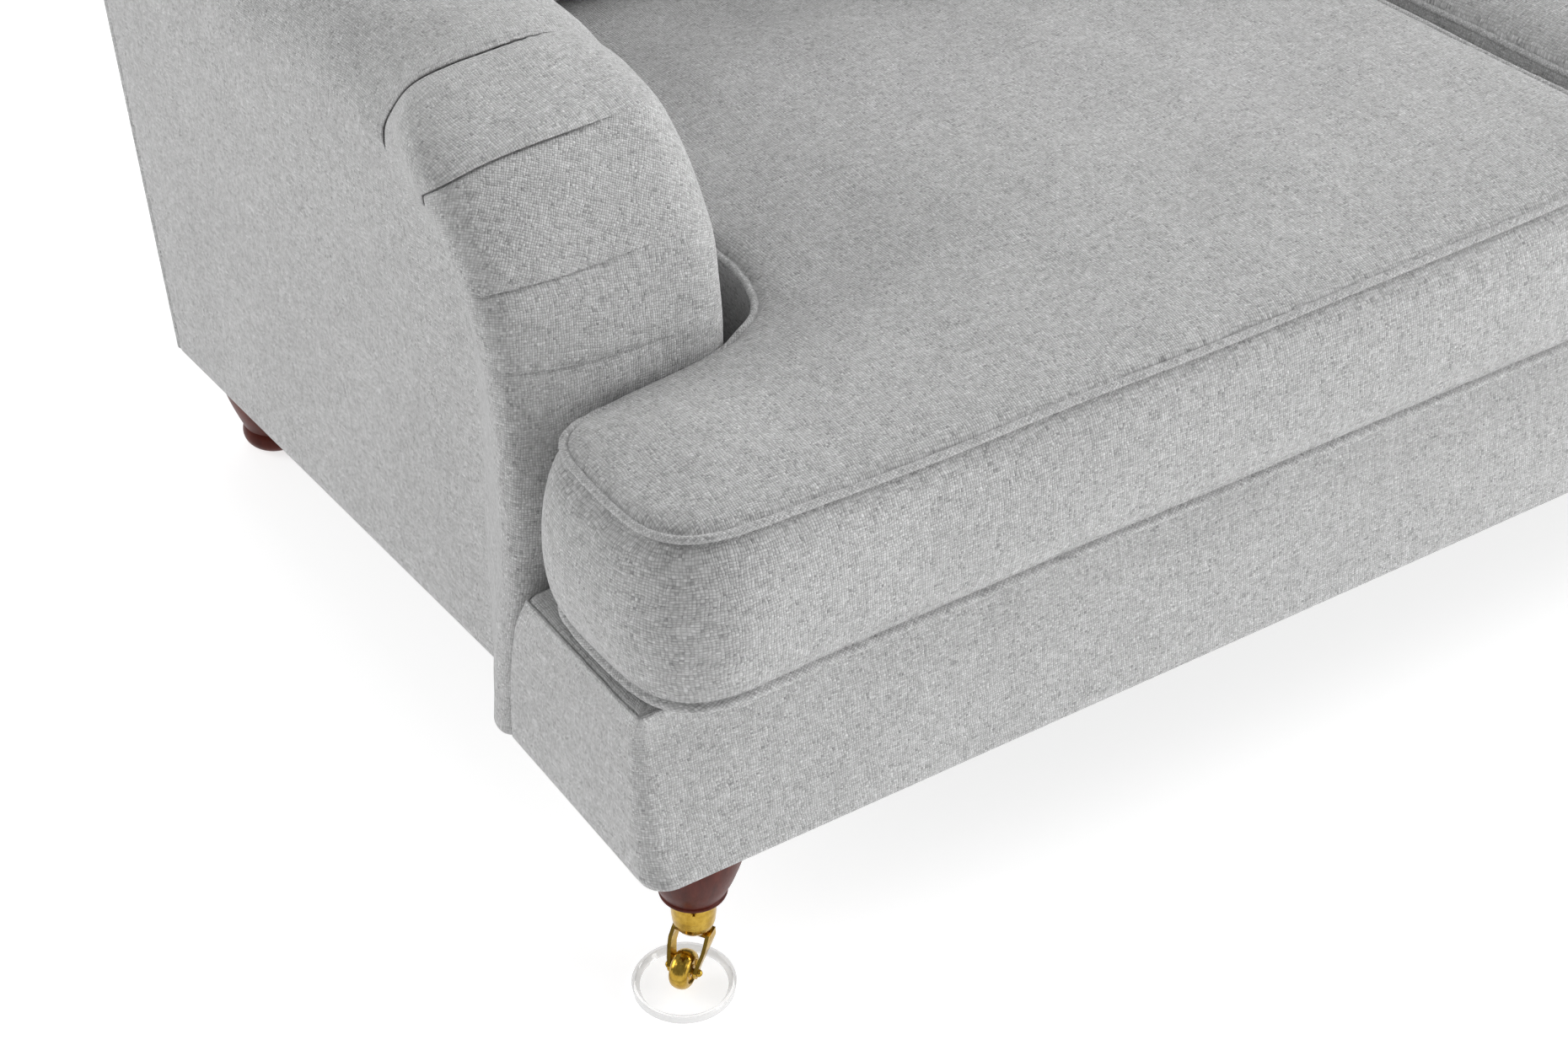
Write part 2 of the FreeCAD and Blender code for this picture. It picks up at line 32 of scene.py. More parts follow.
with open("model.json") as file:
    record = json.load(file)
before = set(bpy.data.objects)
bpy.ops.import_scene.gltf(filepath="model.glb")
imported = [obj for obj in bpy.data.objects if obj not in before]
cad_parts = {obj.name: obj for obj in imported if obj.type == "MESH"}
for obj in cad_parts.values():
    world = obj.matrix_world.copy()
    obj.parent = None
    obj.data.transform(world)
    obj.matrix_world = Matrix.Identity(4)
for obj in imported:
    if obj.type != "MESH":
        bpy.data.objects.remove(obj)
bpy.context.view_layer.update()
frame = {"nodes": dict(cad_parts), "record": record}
NODES = frame["nodes"]

LEAN = math.radians(5.5)
CL, SL = math.cos(LEAN), math.sin(LEAN)
BASE = 0.168
Y_CENTRE = 0.44358

ARM_TOP = 0.475
BACK_Y = 0.833
RAKE = 0.103
PANEL = 0.012
BACK_TOP = 0.760
BACK_HALF = 0.815
BACK_THICK = 0.125
DECK = 0.158


# ------------------------------------------------------------------ numeric kit
def row(P):
    P = np.asarray(P, float)
    x, y, z = P[..., 0], P[..., 1], P[..., 2]
    return np.stack([x, y * CL + z * SL - Y_CENTRE, BASE - y * SL + z * CL], -1)


def smooth(a, b, x):
    t = np.clip((np.asarray(x, float) - a) / (b - a), 0, 1)
    return t * t * (3 - 2 * t)


def lerp(a, b, t):
    return a + (b - a) * t


def y_out(z):
    return BACK_Y + RAKE * np.asarray(z, float)


def cubic(P, n=None, t=None):
    """Natural cubic spline through the rows of P, by chord length."""
    P = np.asarray(P, float)
    if P.ndim == 1:
        P = P[:, None]
    k = np.concatenate([[0], np.cumsum(np.maximum(np.linalg.norm(np.diff(P, axis=0), axis=1), 1e-9))])
    m = len(k)
    h = np.diff(k)
    A = np.zeros((m, m))
    B = np.zeros((m, P.shape[1]))
    A[0, 0] = A[-1, -1] = 1
    for i in range(1, m - 1):
        A[i, i - 1] = h[i - 1]
        A[i, i] = 2 * (h[i - 1] + h[i])
        A[i, i + 1] = h[i]
        B[i] = 6 * ((P[i + 1] - P[i]) / h[i] - (P[i] - P[i - 1]) / h[i - 1])
    M = np.linalg.solve(A, B)
    if t is None:
        t = np.linspace(0, 1, n)
    x = np.asarray(t) * k[-1]
    i = np.clip(np.searchsorted(k, x, side="right") - 1, 0, m - 2)
    a = (k[i + 1] - x)[:, None]
    b = (x - k[i])[:, None]
    H = h[i][:, None]
    return (M[i] * a ** 3 + M[i + 1] * b ** 3) / (6 * H) + (P[i] / H - M[i] * H / 6) * a + (P[i + 1] / H - M[i + 1] * H / 6) * b


def arc(P, closed=False):
    Q = np.vstack([P, P[:1]]) if closed else P
    return np.concatenate([[0], np.cumsum(np.linalg.norm(np.diff(Q, axis=0), axis=1))])


def even(P, n):
    """Resamples an open line to n points evenly along its length."""
    P = np.asarray(P, float)
    s = arc(P)
    t = np.linspace(0, s[-1], n)
    return np.stack([np.interp(t, s, P[:, j]) for j in range(P.shape[1])], 1)


def even_ring(P, step):
    """Resamples a closed line evenly; the start isn't repeated."""
    P = np.asarray(P, float)
    s = arc(P, True)
    n = int(round(s[-1] / step))
    t = np.linspace(0, s[-1], n, endpoint=False)
    Q = np.vstack([P, P[:1]])
    return np.stack([np.interp(t, s, Q[:, j]) for j in range(P.shape[1])], 1)


def soften(v, sigma, closed=False):
    """Gaussian smoothing of the rows of v, sigma in rows."""
    v = np.asarray(v, float)
    r = int(math.ceil(3 * sigma))
    k = np.exp(-0.5 * (np.arange(-r, r + 1) / sigma) ** 2)
    k /= k.sum()
    w = v if v.ndim > 1 else v[:, None]
    if closed:
        e = np.vstack([w[-r:], w, w[:r]])
    else:
        e = np.vstack([np.repeat(w[:1], r, 0), w, np.repeat(w[-1:], r, 0)])
    out = np.stack([np.convolve(e[:, j], k, "valid") for j in range(w.shape[1])], 1)
    return out if v.ndim > 1 else out[:, 0]


def ring_normals(P):
    """Outward normals of a closed counter-clockwise line."""
    d = np.roll(P, -1, 0) - np.roll(P, 1, 0)
    d /= np.maximum(np.linalg.norm(d, axis=1), 1e-12)[:, None]
    return np.stack([d[:, 1], -d[:, 0]], 1)


def line_normals(P):
    d = np.gradient(P, axis=0)
    d /= np.maximum(np.linalg.norm(d, axis=1), 1e-12)[:, None]
    return np.stack([d[:, 1], -d[:, 0]], 1)


def inside(P, poly):
    x, y = P[:, 0], P[:, 1]
    c = np.zeros(len(P), bool)
    a = poly
    b = np.roll(poly, -1, 0)
    for (x0, y0), (x1, y1) in zip(a, b):
        k = (y0 > y) != (y1 > y)
        with np.errstate(divide="ignore", invalid="ignore"):
            xx = x0 + (y - y0) * (x1 - x0) / (y1 - y0)
        c ^= k & (x < xx)
    return c


def edge_distance(P, poly, closed=True):
    a = poly if closed else poly[:-1]
    b = np.roll(poly, -1, 0) if closed else poly[1:]
    d = b - a
    L = np.maximum((d ** 2).sum(1), 1e-18)
    best = np.full(len(P), 1e9)
    for i in range(0, len(P), 2000):
        q = P[i:i + 2000, None, :] - a[None]
        t = np.clip((q * d[None]).sum(-1) / L[None], 0, 1)
        best[i:i + 2000] = np.sqrt(((q - t[..., None] * d[None]) ** 2).sum(-1)).min(1)
    return best


def ripple(x, y, seed, lo=0.05, hi=0.2, n=18):
    """Sum of plane waves, about unit amplitude."""
    r = np.random.RandomState(seed)
    out = 0
    for _ in range(n):
        lam = lo * (hi / lo) ** r.rand()
        a = r.rand() * 2 * math.pi
        out = out + np.sin(2 * math.pi * (x * math.cos(a) + y * math.sin(a)) / lam + r.rand() * 2 * math.pi)
    return out / math.sqrt(n / 2.0) * 0.7


def spin(uv, deg):
    c, s = math.cos(math.radians(deg)), math.sin(math.radians(deg))
    return np.stack([uv[..., 0] * c - uv[..., 1] * s, uv[..., 0] * s + uv[..., 1] * c], -1)


# --------------------------------------------------------------- mesh building
class Skin:
    """Collects vertices in the body frame, faces and thread coordinates (metres)."""

    def __init__(self):
        self.v, self.f, self.uv, self.n = [], [], [], 0

    def grid(self, P, UV, flip=False):
        P = np.asarray(P, float)
        UV = np.asarray(UV, float)
        R, C = P.shape[:2]
        k = np.arange(R * C).reshape(R, C) + self.n
        F = np.stack([k[:-1, :-1], k[:-1, 1:], k[1:, 1:], k[1:, :-1]], -1).reshape(-1, 4)
        U = np.stack([UV[:-1, :-1], UV[:-1, 1:], UV[1:, 1:], UV[1:, :-1]], 2).reshape(-1, 4, 2)
        if flip:
            F = F[:, ::-1]
            U = U[:, ::-1]
        self.v.append(P.reshape(-1, 3))
        self.f += F.tolist()
        self.uv.append(U.reshape(-1, 2))
        self.n += R * C

    def tris(self, P, F, UV, flip=False):
        F = np.asarray(F, int)
        if flip:
            F = F[:, ::-1]
        self.v.append(np.asarray(P, float))
        self.f += (F + self.n).tolist()
        self.uv.append(np.asarray(UV, float)[F].reshape(-1, 2))
        self.n += len(P)

    def panel(self, edge3, to2, from2, inner, uv, flip=False):
        """Fills a closed edge (n, 3). to2 maps points to the plane, from2 maps (n, 2) back to (n, 3)."""
        e2 = to2(edge3)
        pts = np.vstack([e2, inner]) if len(inner) else e2
        co, _, fa, ov, _, _ = delaunay_2d_cdt([Vector(p) for p in pts], [], [list(range(len(e2)))], 1, 1e-7)
        co = np.array([tuple(c) for c in co], float)
        P = from2(co)
        for i, o in enumerate(ov):
            for k in o:
                if k < len(e2):
                    P[i] = edge3[k]
        self.tris(P, np.array([f for f in fa if len(f) == 3]), uv(co), flip)


def new_piece(name, skin, mats, body, mirror=False, weld=2e-5, smooth_faces=True):
    V = row(np.vstack(skin.v))
    if mirror:
        V[:, 0] *= -1
    me = bpy.data.meshes.new(name)
    me.from_pydata(V.tolist(), [], skin.f)
    me.uv_layers.new(name="weave").data.foreach_set("uv", np.vstack(skin.uv).ravel())
    bm = bmesh.new()
    bm.from_mesh(me)
    bmesh.ops.remove_doubles(bm, verts=bm.verts, dist=weld)
    bmesh.ops.dissolve_degenerate(bm, dist=1e-6, edges=bm.edges)
    bmesh.ops.recalc_face_normals(bm, faces=bm.faces)
    for f in bm.faces:
        f.smooth = smooth_faces
    bm.to_mesh(me)
    bm.free()
    me.update()
    o = bpy.data.objects.new(name, me)
    bpy.context.scene.collection.objects.link(o)
    for m in mats if isinstance(mats, (list, tuple)) else [mats]:
        me.materials.append(m)
    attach(o, body)
    return o


def hexes(poly, step, margin, seed=1, jitter=0.12):
    """Staggered points inside a polygon, at least margin from its edge."""
    lo, hi = poly.min(0), poly.max(0)
    r = np.random.RandomState(seed)
    xs = np.arange(lo[0], hi[0], step)
    ys = np.arange(lo[1], hi[1], step * 0.866)
    X, Y = np.meshgrid(xs, ys)
    X = X + (np.arange(len(ys)) % 2)[:, None] * step / 2
    P = np.stack([X.ravel(), Y.ravel()], 1) + (r.rand(X.size, 2) - 0.5) * step * jitter
    P = P[inside(P, poly)]
    return P[edge_distance(P, poly) > margin]


# ------------------------------------------------------------------- materials
class Tree:
    def __init__(self, name):
        self.mat = bpy.data.materials.new(name)
        self.mat.use_nodes = True
        self.t = self.mat.node_tree
        self.t.nodes.clear()
        self.out = self.add("ShaderNodeOutputMaterial")
        self.bsdf = self.add("ShaderNodeBsdfPrincipled")
        self.t.links.new(self.bsdf.outputs["BSDF"], self.out.inputs["Surface"])

    def add(self, kind, **kw):
        n = self.t.nodes.new(kind)
        for k, v in kw.items():
            setattr(n, k, v)
        return n

    def put(self, socket, v):
        if isinstance(v, bpy.types.NodeSocket):
            self.t.links.new(v, socket)
        else:
            socket.default_value = v

    def m(self, op, a, b=None, c=None, clamp=False):
        n = self.add("ShaderNodeMath", operation=op, use_clamp=clamp)
        for s, v in zip(n.inputs, (a, b, c)):
            if v is not None:
                self.put(s, v)
        return n.outputs[0]

    def xyz(self, x=0.0, y=0.0, z=0.0):
        n = self.add("ShaderNodeCombineXYZ")
        for s, v in zip(n.inputs, (x, y, z)):
            self.put(s, v)
        return n.outputs[0]

    def split(self, v):
        n = self.add("ShaderNodeSeparateXYZ")
        self.put(n.inputs[0], v)
        return n.outputs

    def scale(self, v, k):
        n = self.add("ShaderNodeVectorMath", operation="MULTIPLY")
        self.put(n.inputs[0], v)
        n.inputs[1].default_value = k if isinstance(k, (tuple, list)) else (k, k, k)
        return n.outputs[0]

    def noise(self, v, scale=1.0, detail=2.0, rough=0.5, distort=0.0):
        n = self.add("ShaderNodeTexNoise")
        self.put(n.inputs["Vector"], v)
        n.inputs["Scale"].default_value = scale
        n.inputs["Detail"].default_value = detail
        n.inputs["Roughness"].default_value = rough
        n.inputs["Distortion"].default_value = distort
        return n.outputs["Fac"]

    def ramp(self, f, stops):
        n = self.add("ShaderNodeValToRGB")
        self.put(n.inputs[0], f)
        e = n.color_ramp.elements
        while len(e) < len(stops):
            e.new(0.5)
        for i, (p, c) in enumerate(stops):
            e[i].position = p
            e[i].color = (c, c, c, 1) if isinstance(c, (int, float)) else (*c, 1)
        return n.outputs["Color"]

    def mixf(self, f, a, b):
        n = self.add("ShaderNodeMix", data_type="FLOAT")
        self.put(n.inputs[0], f)
        self.put(n.inputs[2], a)
        self.put(n.inputs[3], b)
        return n.outputs[0]

    def mixc(self, f, a, b, blend="MIX"):
        n = self.add("ShaderNodeMix", data_type="RGBA", blend_type=blend)
        self.put(n.inputs[0], f)
        self.put(n.inputs[6], a if isinstance(a, bpy.types.NodeSocket) else (*a, 1))
        self.put(n.inputs[7], b if isinstance(b, bpy.types.NodeSocket) else (*b, 1))
        return n.outputs[2]

    def rng(self, v, a, b, c, d):
        n = self.add("ShaderNodeMapRange")
        for s, k in zip(n.inputs, (v, a, b, c, d)):
            self.put(s, k)
        return n.outputs[0]

    def bump(self, h, distance, strength=1.0, normal=None):
        n = self.add("ShaderNodeBump")
        n.inputs["Strength"].default_value = strength
        n.inputs["Distance"].default_value = distance
        self.put(n.inputs["Height"], h)
        if normal is not None:
            self.put(n.inputs["Normal"], normal)
        return n.outputs["Normal"]

    def coords(self, which="Object"):
        return self.add("ShaderNodeTexCoord").outputs[which]

    def uv(self, name="weave"):
        n = self.add("ShaderNodeUVMap", uv_map=name)
        return n.outputs[0]


def grey(v, warm=0.0):
    return (v * (1 + warm), v, v * (1 - warm))


def woven(name, tone=0.42, contrast=0.70, pitch=0.00190, relief=0.0005, sheen=0.20, gap=0.44):
    """Plain-weave heathered cloth on the metre-scaled map: threads in both directions, each
    with its own light and dark flecks along it, over broader mottling."""
    T = Tree(name)
    uv = T.uv()
    u, v, _ = T.split(uv)
    wan = T.noise(T.scale(uv, (34.0, 34.0, 1.0)), 1.0, 2.0, 0.55)
    wan2 = T.noise(T.scale(uv, (29.0, 41.0, 1.0)), 1.0, 2.0, 0.55, 0.3)
    slub = T.noise(T.scale(uv, (260.0, 110.0, 1.0)), 1.0, 2.0, 0.6)
    slub2 = T.noise(T.scale(uv, (110.0, 260.0, 1.0)), 1.0, 2.0, 0.6, 0.2)
    U = T.m("ADD", T.m("ADD", T.m("DIVIDE", u, pitch), T.m("MULTIPLY", wan, 3.0)), T.m("MULTIPLY", slub, 1.5))
    V = T.m("ADD", T.m("ADD", T.m("DIVIDE", v, pitch), T.m("MULTIPLY", wan2, 3.0)), T.m("MULTIPLY", slub2, 1.5))
    iu, iv = T.m("FLOOR", U), T.m("FLOOR", V)
    fu, fv = T.m("SUBTRACT", U, iu), T.m("SUBTRACT", V, iv)
    over = T.m("FLOORED_MODULO", T.m("ADD", iu, iv), 2.0)          # 0 warp on top, 1 weft on top
    # one random run of flecks for each thread
    na = T.noise(T.xyz(T.m("MULTIPLY", iu, 7.131), T.m("MULTIPLY", V, 0.30), 3.7), 1.0, 3.0, 0.62)
    nb = T.noise(T.xyz(T.m("MULTIPLY", U, 0.30), T.m("MULTIPLY", iv, 7.131), 19.3), 1.0, 3.0, 0.62)
    f = T.mixf(over, na, nb)

    def tube(t):
        x = T.m("SUBTRACT", T.m("MULTIPLY", t, 2.0), 1.0)
        return T.m("SQRT", T.m("MAXIMUM", T.m("SUBTRACT", 1.0, T.m("MULTIPLY", x, x)), 0.0))

    def arch(t):
        return T.m("ADD", 0.42, T.m("MULTIPLY", T.m("SINE", T.m("MULTIPLY", t, math.pi)), 0.58))

    h = T.mixf(over, T.m("MULTIPLY", tube(fu), arch(fv)), T.m("MULTIPLY", tube(fv), arch(fu)))
    fibre = T.noise(T.scale(uv, (2600.0, 2600.0, 1.0)), 1.0, 2.0, 0.6)
    broad = T.noise(T.scale(uv, (70.0, 70.0, 1.0)), 1.0, 4.0, 0.6)
    cloud = T.noise(T.scale(uv, (9.0, 9.0, 1.0)), 1.0, 2.0, 0.5)
    k = contrast
    base = T.ramp(f, [(0.28, tone * (1 - 0.66 * k)), (0.43, tone * (1 - 0.15 * k)), (0.56, tone * (1 + 0.12 * k)),
                      (0.70, min(0.92, tone * (1 + 0.42 * k)))])
    # painted shade: the gaps between threads are darkened in the colour, by an amount that varies at random over the
    # cloth
    gap_shade_vary = T.rng(T.noise(T.scale(uv, (150.0, 150.0, 1.0)), 1.0, 3.0, 0.6), 0.32, 0.68, 0.55, 1.20)
    g = T.m("MULTIPLY", gap_shade_vary, gap)
    shade = T.m("SUBTRACT", 1.0, T.m("MULTIPLY", g, T.m("SUBTRACT", 1.0, h)))
    # random tone from the fibre, broad and cloud noises is multiplied onto the painted gap shade
    shade = T.m("MULTIPLY", shade, T.rng(fibre, 0.25, 0.75, 0.93, 1.07))
    shade = T.m("MULTIPLY", shade, T.rng(broad, 0.3, 0.7, 0.95, 1.05))
    shade = T.m("MULTIPLY", shade, T.rng(cloud, 0.3, 0.7, 0.97, 1.03))
    col = T.mixc(1.0, base, T.xyz(shade, shade, shade), "MULTIPLY")
    T.put(T.bsdf.inputs["Base Color"], col)
    rough = T.rng(f, 0.3, 0.7, 0.96, 0.86)
    T.put(T.bsdf.inputs["Roughness"], rough)
    hh = T.m("ADD", T.m("MULTIPLY", h, 0.85), T.m("MULTIPLY", fibre, 0.3))
    hh = T.m("ADD", hh, T.m("MULTIPLY", f, 0.5))
    T.put(T.bsdf.inputs["Normal"], T.bump(hh, relief, 1.0))
    T.bsdf.inputs["Sheen Weight"].default_value = sheen
    T.bsdf.inputs["Sheen Roughness"].default_value = 0.45
    T.bsdf.inputs["Specular IOR Level"].default_value = 0.25
    return T.mat


CLOTH = woven("heather_cloth", tone=0.59)


# ------------------------------------------------------------------- roll arms
FRONT = [(0.290, 0.475), (0.262, 0.4742), (0.236, 0.470), (0.212, 0.4645), (0.190, 0.4555), (0.165, 0.437),
         (0.141, 0.406), (0.1235, 0.373), (0.112, 0.338), (0.108, 0.300), (0.1115, 0.240), (0.120, 0.170),
         (0.131, 0.085), (0.140, 0.0)]
S_TOP = np.array([(-.865, .100), (-.8645, .085), (-.8625, .065), (-.856, .045), (-.845, .0285), (-.828, .0135),
                  (-.804, .004), (-.770, 0), (-.736, .0045), (-.713, .017), (-.699, .036), (-.6935, .058),
                  (-.692, .080), (-.694, .100)])
S_MID = np.array([(-.8655, .100), (-.872, .084), (-.8805, .062), (-.8885, .042), (-.893, .026), (-.889, .0125),
                  (-.872, .0040), (-.815, .000), (-.757, .002), (-.723, .008), (-.705, .021), (-.696, .040),
                  (-.6935, .062), (-.694, .100)])
S_LOW = np.array([(-.865, .100), (-.870, .085), (-.882, .064), (-.8965, .044), (-.905, .027), (-.903, .0125),
                  (-.884, .0035), (-.820, .000), (-.762, .001), (-.728, .006), (-.708, .018), (-.698, .036),
                  (-.694, .060), (-.694, .100)])
BUMP_Z = np.array([0, .04, .085, .123, .158, .20, .25, .30])
BUMP_Y = np.array([-.003, -.008, -.015, -.022, -.027, -.024, -.011, 0])


class Arm:
    """The arm's surface: s runs up the front and back along the top, w goes round the section."""

    def __init__(self, n=1200, m=300):
        c = cubic(FRONT, 700)
        y1 = float(y_out(ARM_TOP)) - PANEL
        line = np.stack([np.linspace(y1, 0.2905, 400), np.full(400, ARM_TOP)], 1)
        self.C = even(np.vstack([line, c]), n)[::-1]
        T = np.gradient(self.C, axis=0)
        T /= np.linalg.norm(T, axis=1)[:, None]
        N = np.stack([-T[:, 1], T[:, 0]], 1)
        self.S = arc(self.C)
        self.L = self.S[-1]
        k = smooth(0, 0.10, self.S)[:, None]
        N = np.array([[-1.0, 0.0]]) * (1 - k) + N * k
        k = smooth(self.L - 0.12, self.L, self.S)[:, None]
        N = N * (1 - k) + np.array([[0.1025, 0.9947]]) * k
        self.N = N / np.linalg.norm(N, axis=1)[:, None]
        self.sec = [even(cubic(q, 500), m) for q in (S_LOW, S_MID, S_TOP)]
        self.w = np.linspace(0, 1, m)

    def at(self, s, w):
        s, w = np.broadcast_arrays(np.asarray(s, float), np.asarray(w, float))
        sc = np.clip(s, 0, self.L)
        c = np.stack([np.interp(sc, self.S, self.C[:, 0]), np.interp(sc, self.S, self.C[:, 1])], -1)
        n = np.stack([np.interp(sc, self.S, self.N[:, 0]), np.interp(sc, self.S, self.N[:, 1])], -1)
        n = n / np.linalg.norm(n, axis=-1, keepdims=True)
        f1, f2 = smooth(.14, .32, sc), smooth(.50, .64, sc)
        k = [(1 - f1), f1 * (1 - f2), f1 * f2]
        x = sum(a * np.interp(w, self.w, q[:, 0]) for a, q in zip(k, self.sec))
        d = sum(a * np.interp(w, self.w, q[:, 1]) for a, q in zip(k, self.sec))
        y = c[..., 0] - n[..., 0] * d
        z = c[..., 1] - n[..., 1] * d
        y = y + np.interp(z, BUMP_Z, BUMP_Y) * smooth(-.815, -.872, x) * smooth(.085, .03, d) * smooth(.36, .30, sc)
        x = x + .012 * smooth(.20, .38, y) * smooth(-.775, -.700, x) * smooth(.30, .42, z)
        x = x - .007 * smooth(.36, .27, z) * smooth(-.712, -.697, x)
        return np.stack([x, y, z], -1)


ARM = Arm()
# each crease: its line (w, s), where it starts and fades, and the fold's depth
CREASES = [
    dict(w=[.10, .268, .365, .472, .602, .80], s=[.333, .3251, .3184, .3151, .3117, .309], w0=.16, w1=.30, w2=.46, w3=.70, a=.0034, crisp=.55),
    dict(w=[.10, .234, .304, .405, .515, .609, .80], s=[.386, .3842, .3832, .3804, .3804, .3804, .381], w0=.19, w1=.30, w2=.46, w3=.66, a=.0036, crisp=.72),
    dict(w=[.0, .057, .120, .254, .328, .401, .512, .625, .80], s=[.540, .528, .5011, .4676, .471, .4726, .4743, .476, .478],
         w0=.065, w1=.115, w2=.50, w3=.69, a=.0043),
    dict(w=[.0, .104, .137, .258, .355, .438, .522, .592, .80], s=[.608, .6185, .6268, .6017, .5833, .5799, .5812, .5816, .584],
         w0=.085, w1=.13, w2=.47, w3=.66, a=.0043),
]
# the thread direction turns from one gathered band to the next
BAND_TURN = [3.0, 9.0, 31.0, -14.0, 0.0]
# fold from the lower layer, under the lip, round its nose and up: (ds fixed, ds * depth, out * depth)
FOLD = [(-.0024, 0.0, -.34), (-.0013, 0.0, -.50), (-.0005, 0.35, -.62), (0.0, 0.80, -.58), (.0002, 0.85, -.30),
        (.0004, 0.10, -.08), (.0005, -.38, .02), (.0006, -.55, .20), (.0008, -.42, .38), (.0013, -.05, .50), (.0025, 0.0, .56)]


def arm_skin():
    W = np.linspace(0, 1, 141)
    nW = len(W)
    crease, amp = [], []
    for c in CREASES:
        crease.append(soften(np.interp(W, c["w"], c["s"]), 3.6))
        amp.append(smooth(c["w0"], c["w1"], W) * (1 - smooth(c["w2"], c["w3"], W)))
    L = ARM.L
    rows_s, rows_o, band = [], [], []

    def add(s, o, b):
        rows_s.append(np.broadcast_to(s, (nW,)).astype(float))
        rows_o.append(np.broadcast_to(o, (nW,)).astype(float))
        band.append(b)

    lows = [np.full(nW, 0.004)] + [c + .0034 for c in crease]
    highs = [c - .0034 for c in crease] + [np.full(nW, L - .006)]
    counts = [44, 16, 22, 26, 70]
    # turned under at the bottom
    add(0.0, -.0140, 0)
    add(0.0, -.0032, 0)
    add(.0012, -.0010, 0)
    for b in range(5):
        n = counts[b]
        t = np.linspace(0, 1, n)
        t = t * 0.55 + 0.45 * (0.5 - 0.5 * np.cos(np.pi * t))
        if b == 4:
            t = np.linspace(0, 1, n) ** 1.35
        for q in t:
            add(lows[b] * (1 - q) + highs[b] * q, 0.0, b)
        if b < 4:
            a, A = CREASES[b]["a"] * CREASES[b].get("crisp", 1.0), amp[b]
            for i, (ds, dd, dn) in enumerate(FOLD):
                add(crease[b] + ds + dd * a * A, dn * a * A, b if i < 6 else b + 1)
    add(L - .003, -.0001, 4)
    add(L - .001, -.0006, 4)
    add(L, -.0016, 4)
    S = np.array(rows_s)
    O = np.array(rows_o)
    WW = np.broadcast_to(W, S.shape)
    P = ARM.at(S, WW)
    e = 1.2e-3
    Ds = ARM.at(np.minimum(S + e, L), WW) - ARM.at(np.maximum(S - e, 0), WW)
    Dw = ARM.at(S, np.minimum(WW + .006, 1)) - ARM.at(S, np.maximum(WW - .006, 0))
    N = np.cross(Ds, Dw)
    N /= np.maximum(np.linalg.norm(N, axis=-1, keepdims=True), 1e-12)
    if N[len(S) // 2, nW // 2, 2] < 0:
        N = -N
    low = (S <= .0045)[..., None]
    Nh = N * np.array([1, 1, 0])
    Nh /= np.maximum(np.linalg.norm(Nh, axis=-1, keepdims=True), 1e-12)
    N = np.where(low, Nh, N)
    # soft swelling on either side of each crease
    soft = np.zeros_like(S)
    for c, cr, A in zip(CREASES, crease, amp):
        x = S - cr[None]
        m = c["a"] * A[None]
        up = .56 * np.exp(-np.maximum(x, 0) / .034)
        q = np.maximum(-x, 0)
        dn = -.34 * np.exp(-q / .0075) + .50 * (q / .024) * np.exp(1 - q / .024)
        soft += np.where(x > .0034, up, np.where(x < -.0034, dn, 0)) * m
    soft *= smooth(0, .03, WW) * smooth(1, .95, WW)
    # the cloth is drawn together where the creases end, and the padding is a little uneven
    quiet = smooth(0, .05, WW) * smooth(1, .93, WW) * smooth(0, .05, S)
    soft += .0009 * ripple(S * 1.0, WW * .33, 11, .06, .20) * quiet
    for cr, A, c in zip(crease, amp, CREASES):
        g = np.exp(-((S - cr[None]) / .02) ** 2) * (A * (1 - A) * 4)[None]
        soft += .10 * c["a"] * np.sin(2 * np.pi * WW * .33 / .011) * g
    P = P + N * (O + soft)[..., None]
    P[..., 2] = np.maximum(P[..., 2], 0.0)
    mid = ARM.at(np.full(nW, .42), W)
    a = arc(mid)
    a = a - np.interp(.45, W, a)
    UV = np.stack([np.broadcast_to(a, S.shape), S], -1)
    sk = Skin()
    band = np.array(band)
    for b in range(5):
        k = np.nonzero(band == b)[0]
        k = np.append(k, k[-1] + 1) if k[-1] + 1 < len(S) else k
        sk.grid(P[k], spin(UV[k], BAND_TURN[b]) + b * .37)

    # flat outside panel, from the rounded front and top to the rear edge and the underside
    r0 = 3                                              # first row at z = 4 mm
    Bo = P[r0:, 0]
    zs = [P[0, 0, 2], P[1, 0, 2], P[2, 0, 2], P[3, 0, 2]]
    y_end = lambda z: y_out(z) - PANEL
    yb = np.linspace(Bo[0, 1], float(y_end(.004)), 52)
    offs = [-.0140, -.0032, -.0010, 0.0]
    strip = np.zeros((4, len(yb), 3))
    for i in range(4):
        strip[i, :, 0] = -.865 - offs[i]
        strip[i, :, 1] = np.linspace(P[i, 0, 1], float(y_end(zs[i])), len(yb))
        strip[i, :, 2] = zs[i]
        strip[i, 0] = P[i, 0]
    sk.grid(strip, strip[..., [1, 2]] * [1, 1] + [0.11, 0], flip=True)
    zr = np.linspace(.004, Bo[-1, 2], 46)[1:-1]
    rear = np.stack([np.full(len(zr), -.865), y_end(zr), zr], 1)
    edge = np.vstack([Bo, rear[::-1], strip[3, ::-1][:-1]])
    e2 = edge[:, [1, 2]]
    near = [np.stack([y_end(zr) - q, zr], 1) for q in (.0012, .0032, .007)]
    inner = np.vstack([hexes(e2, .020, .012, 3)] + [n[(n[:, 1] > .012) & (n[:, 1] < Bo[-1, 2] - .01)] for n in near])

    def out(c):
        d = edge_distance(c, e2)
        back = y_end(c[:, 1]) - c[:, 0]
        x = -.865 - .0022 * (1 - np.exp(-d / .05)) - .0006 * ripple(c[:, 0], c[:, 1], 5, .09, .28) * smooth(0, .08, d)
        x = x + .0016 * np.exp(-back / .0016)
        return np.column_stack([x, c[:, 0], c[:, 1]])

    sk.panel(edge, lambda e: e[:, [1, 2]], out, inner, lambda c: spin(c, 2.0) + .63)

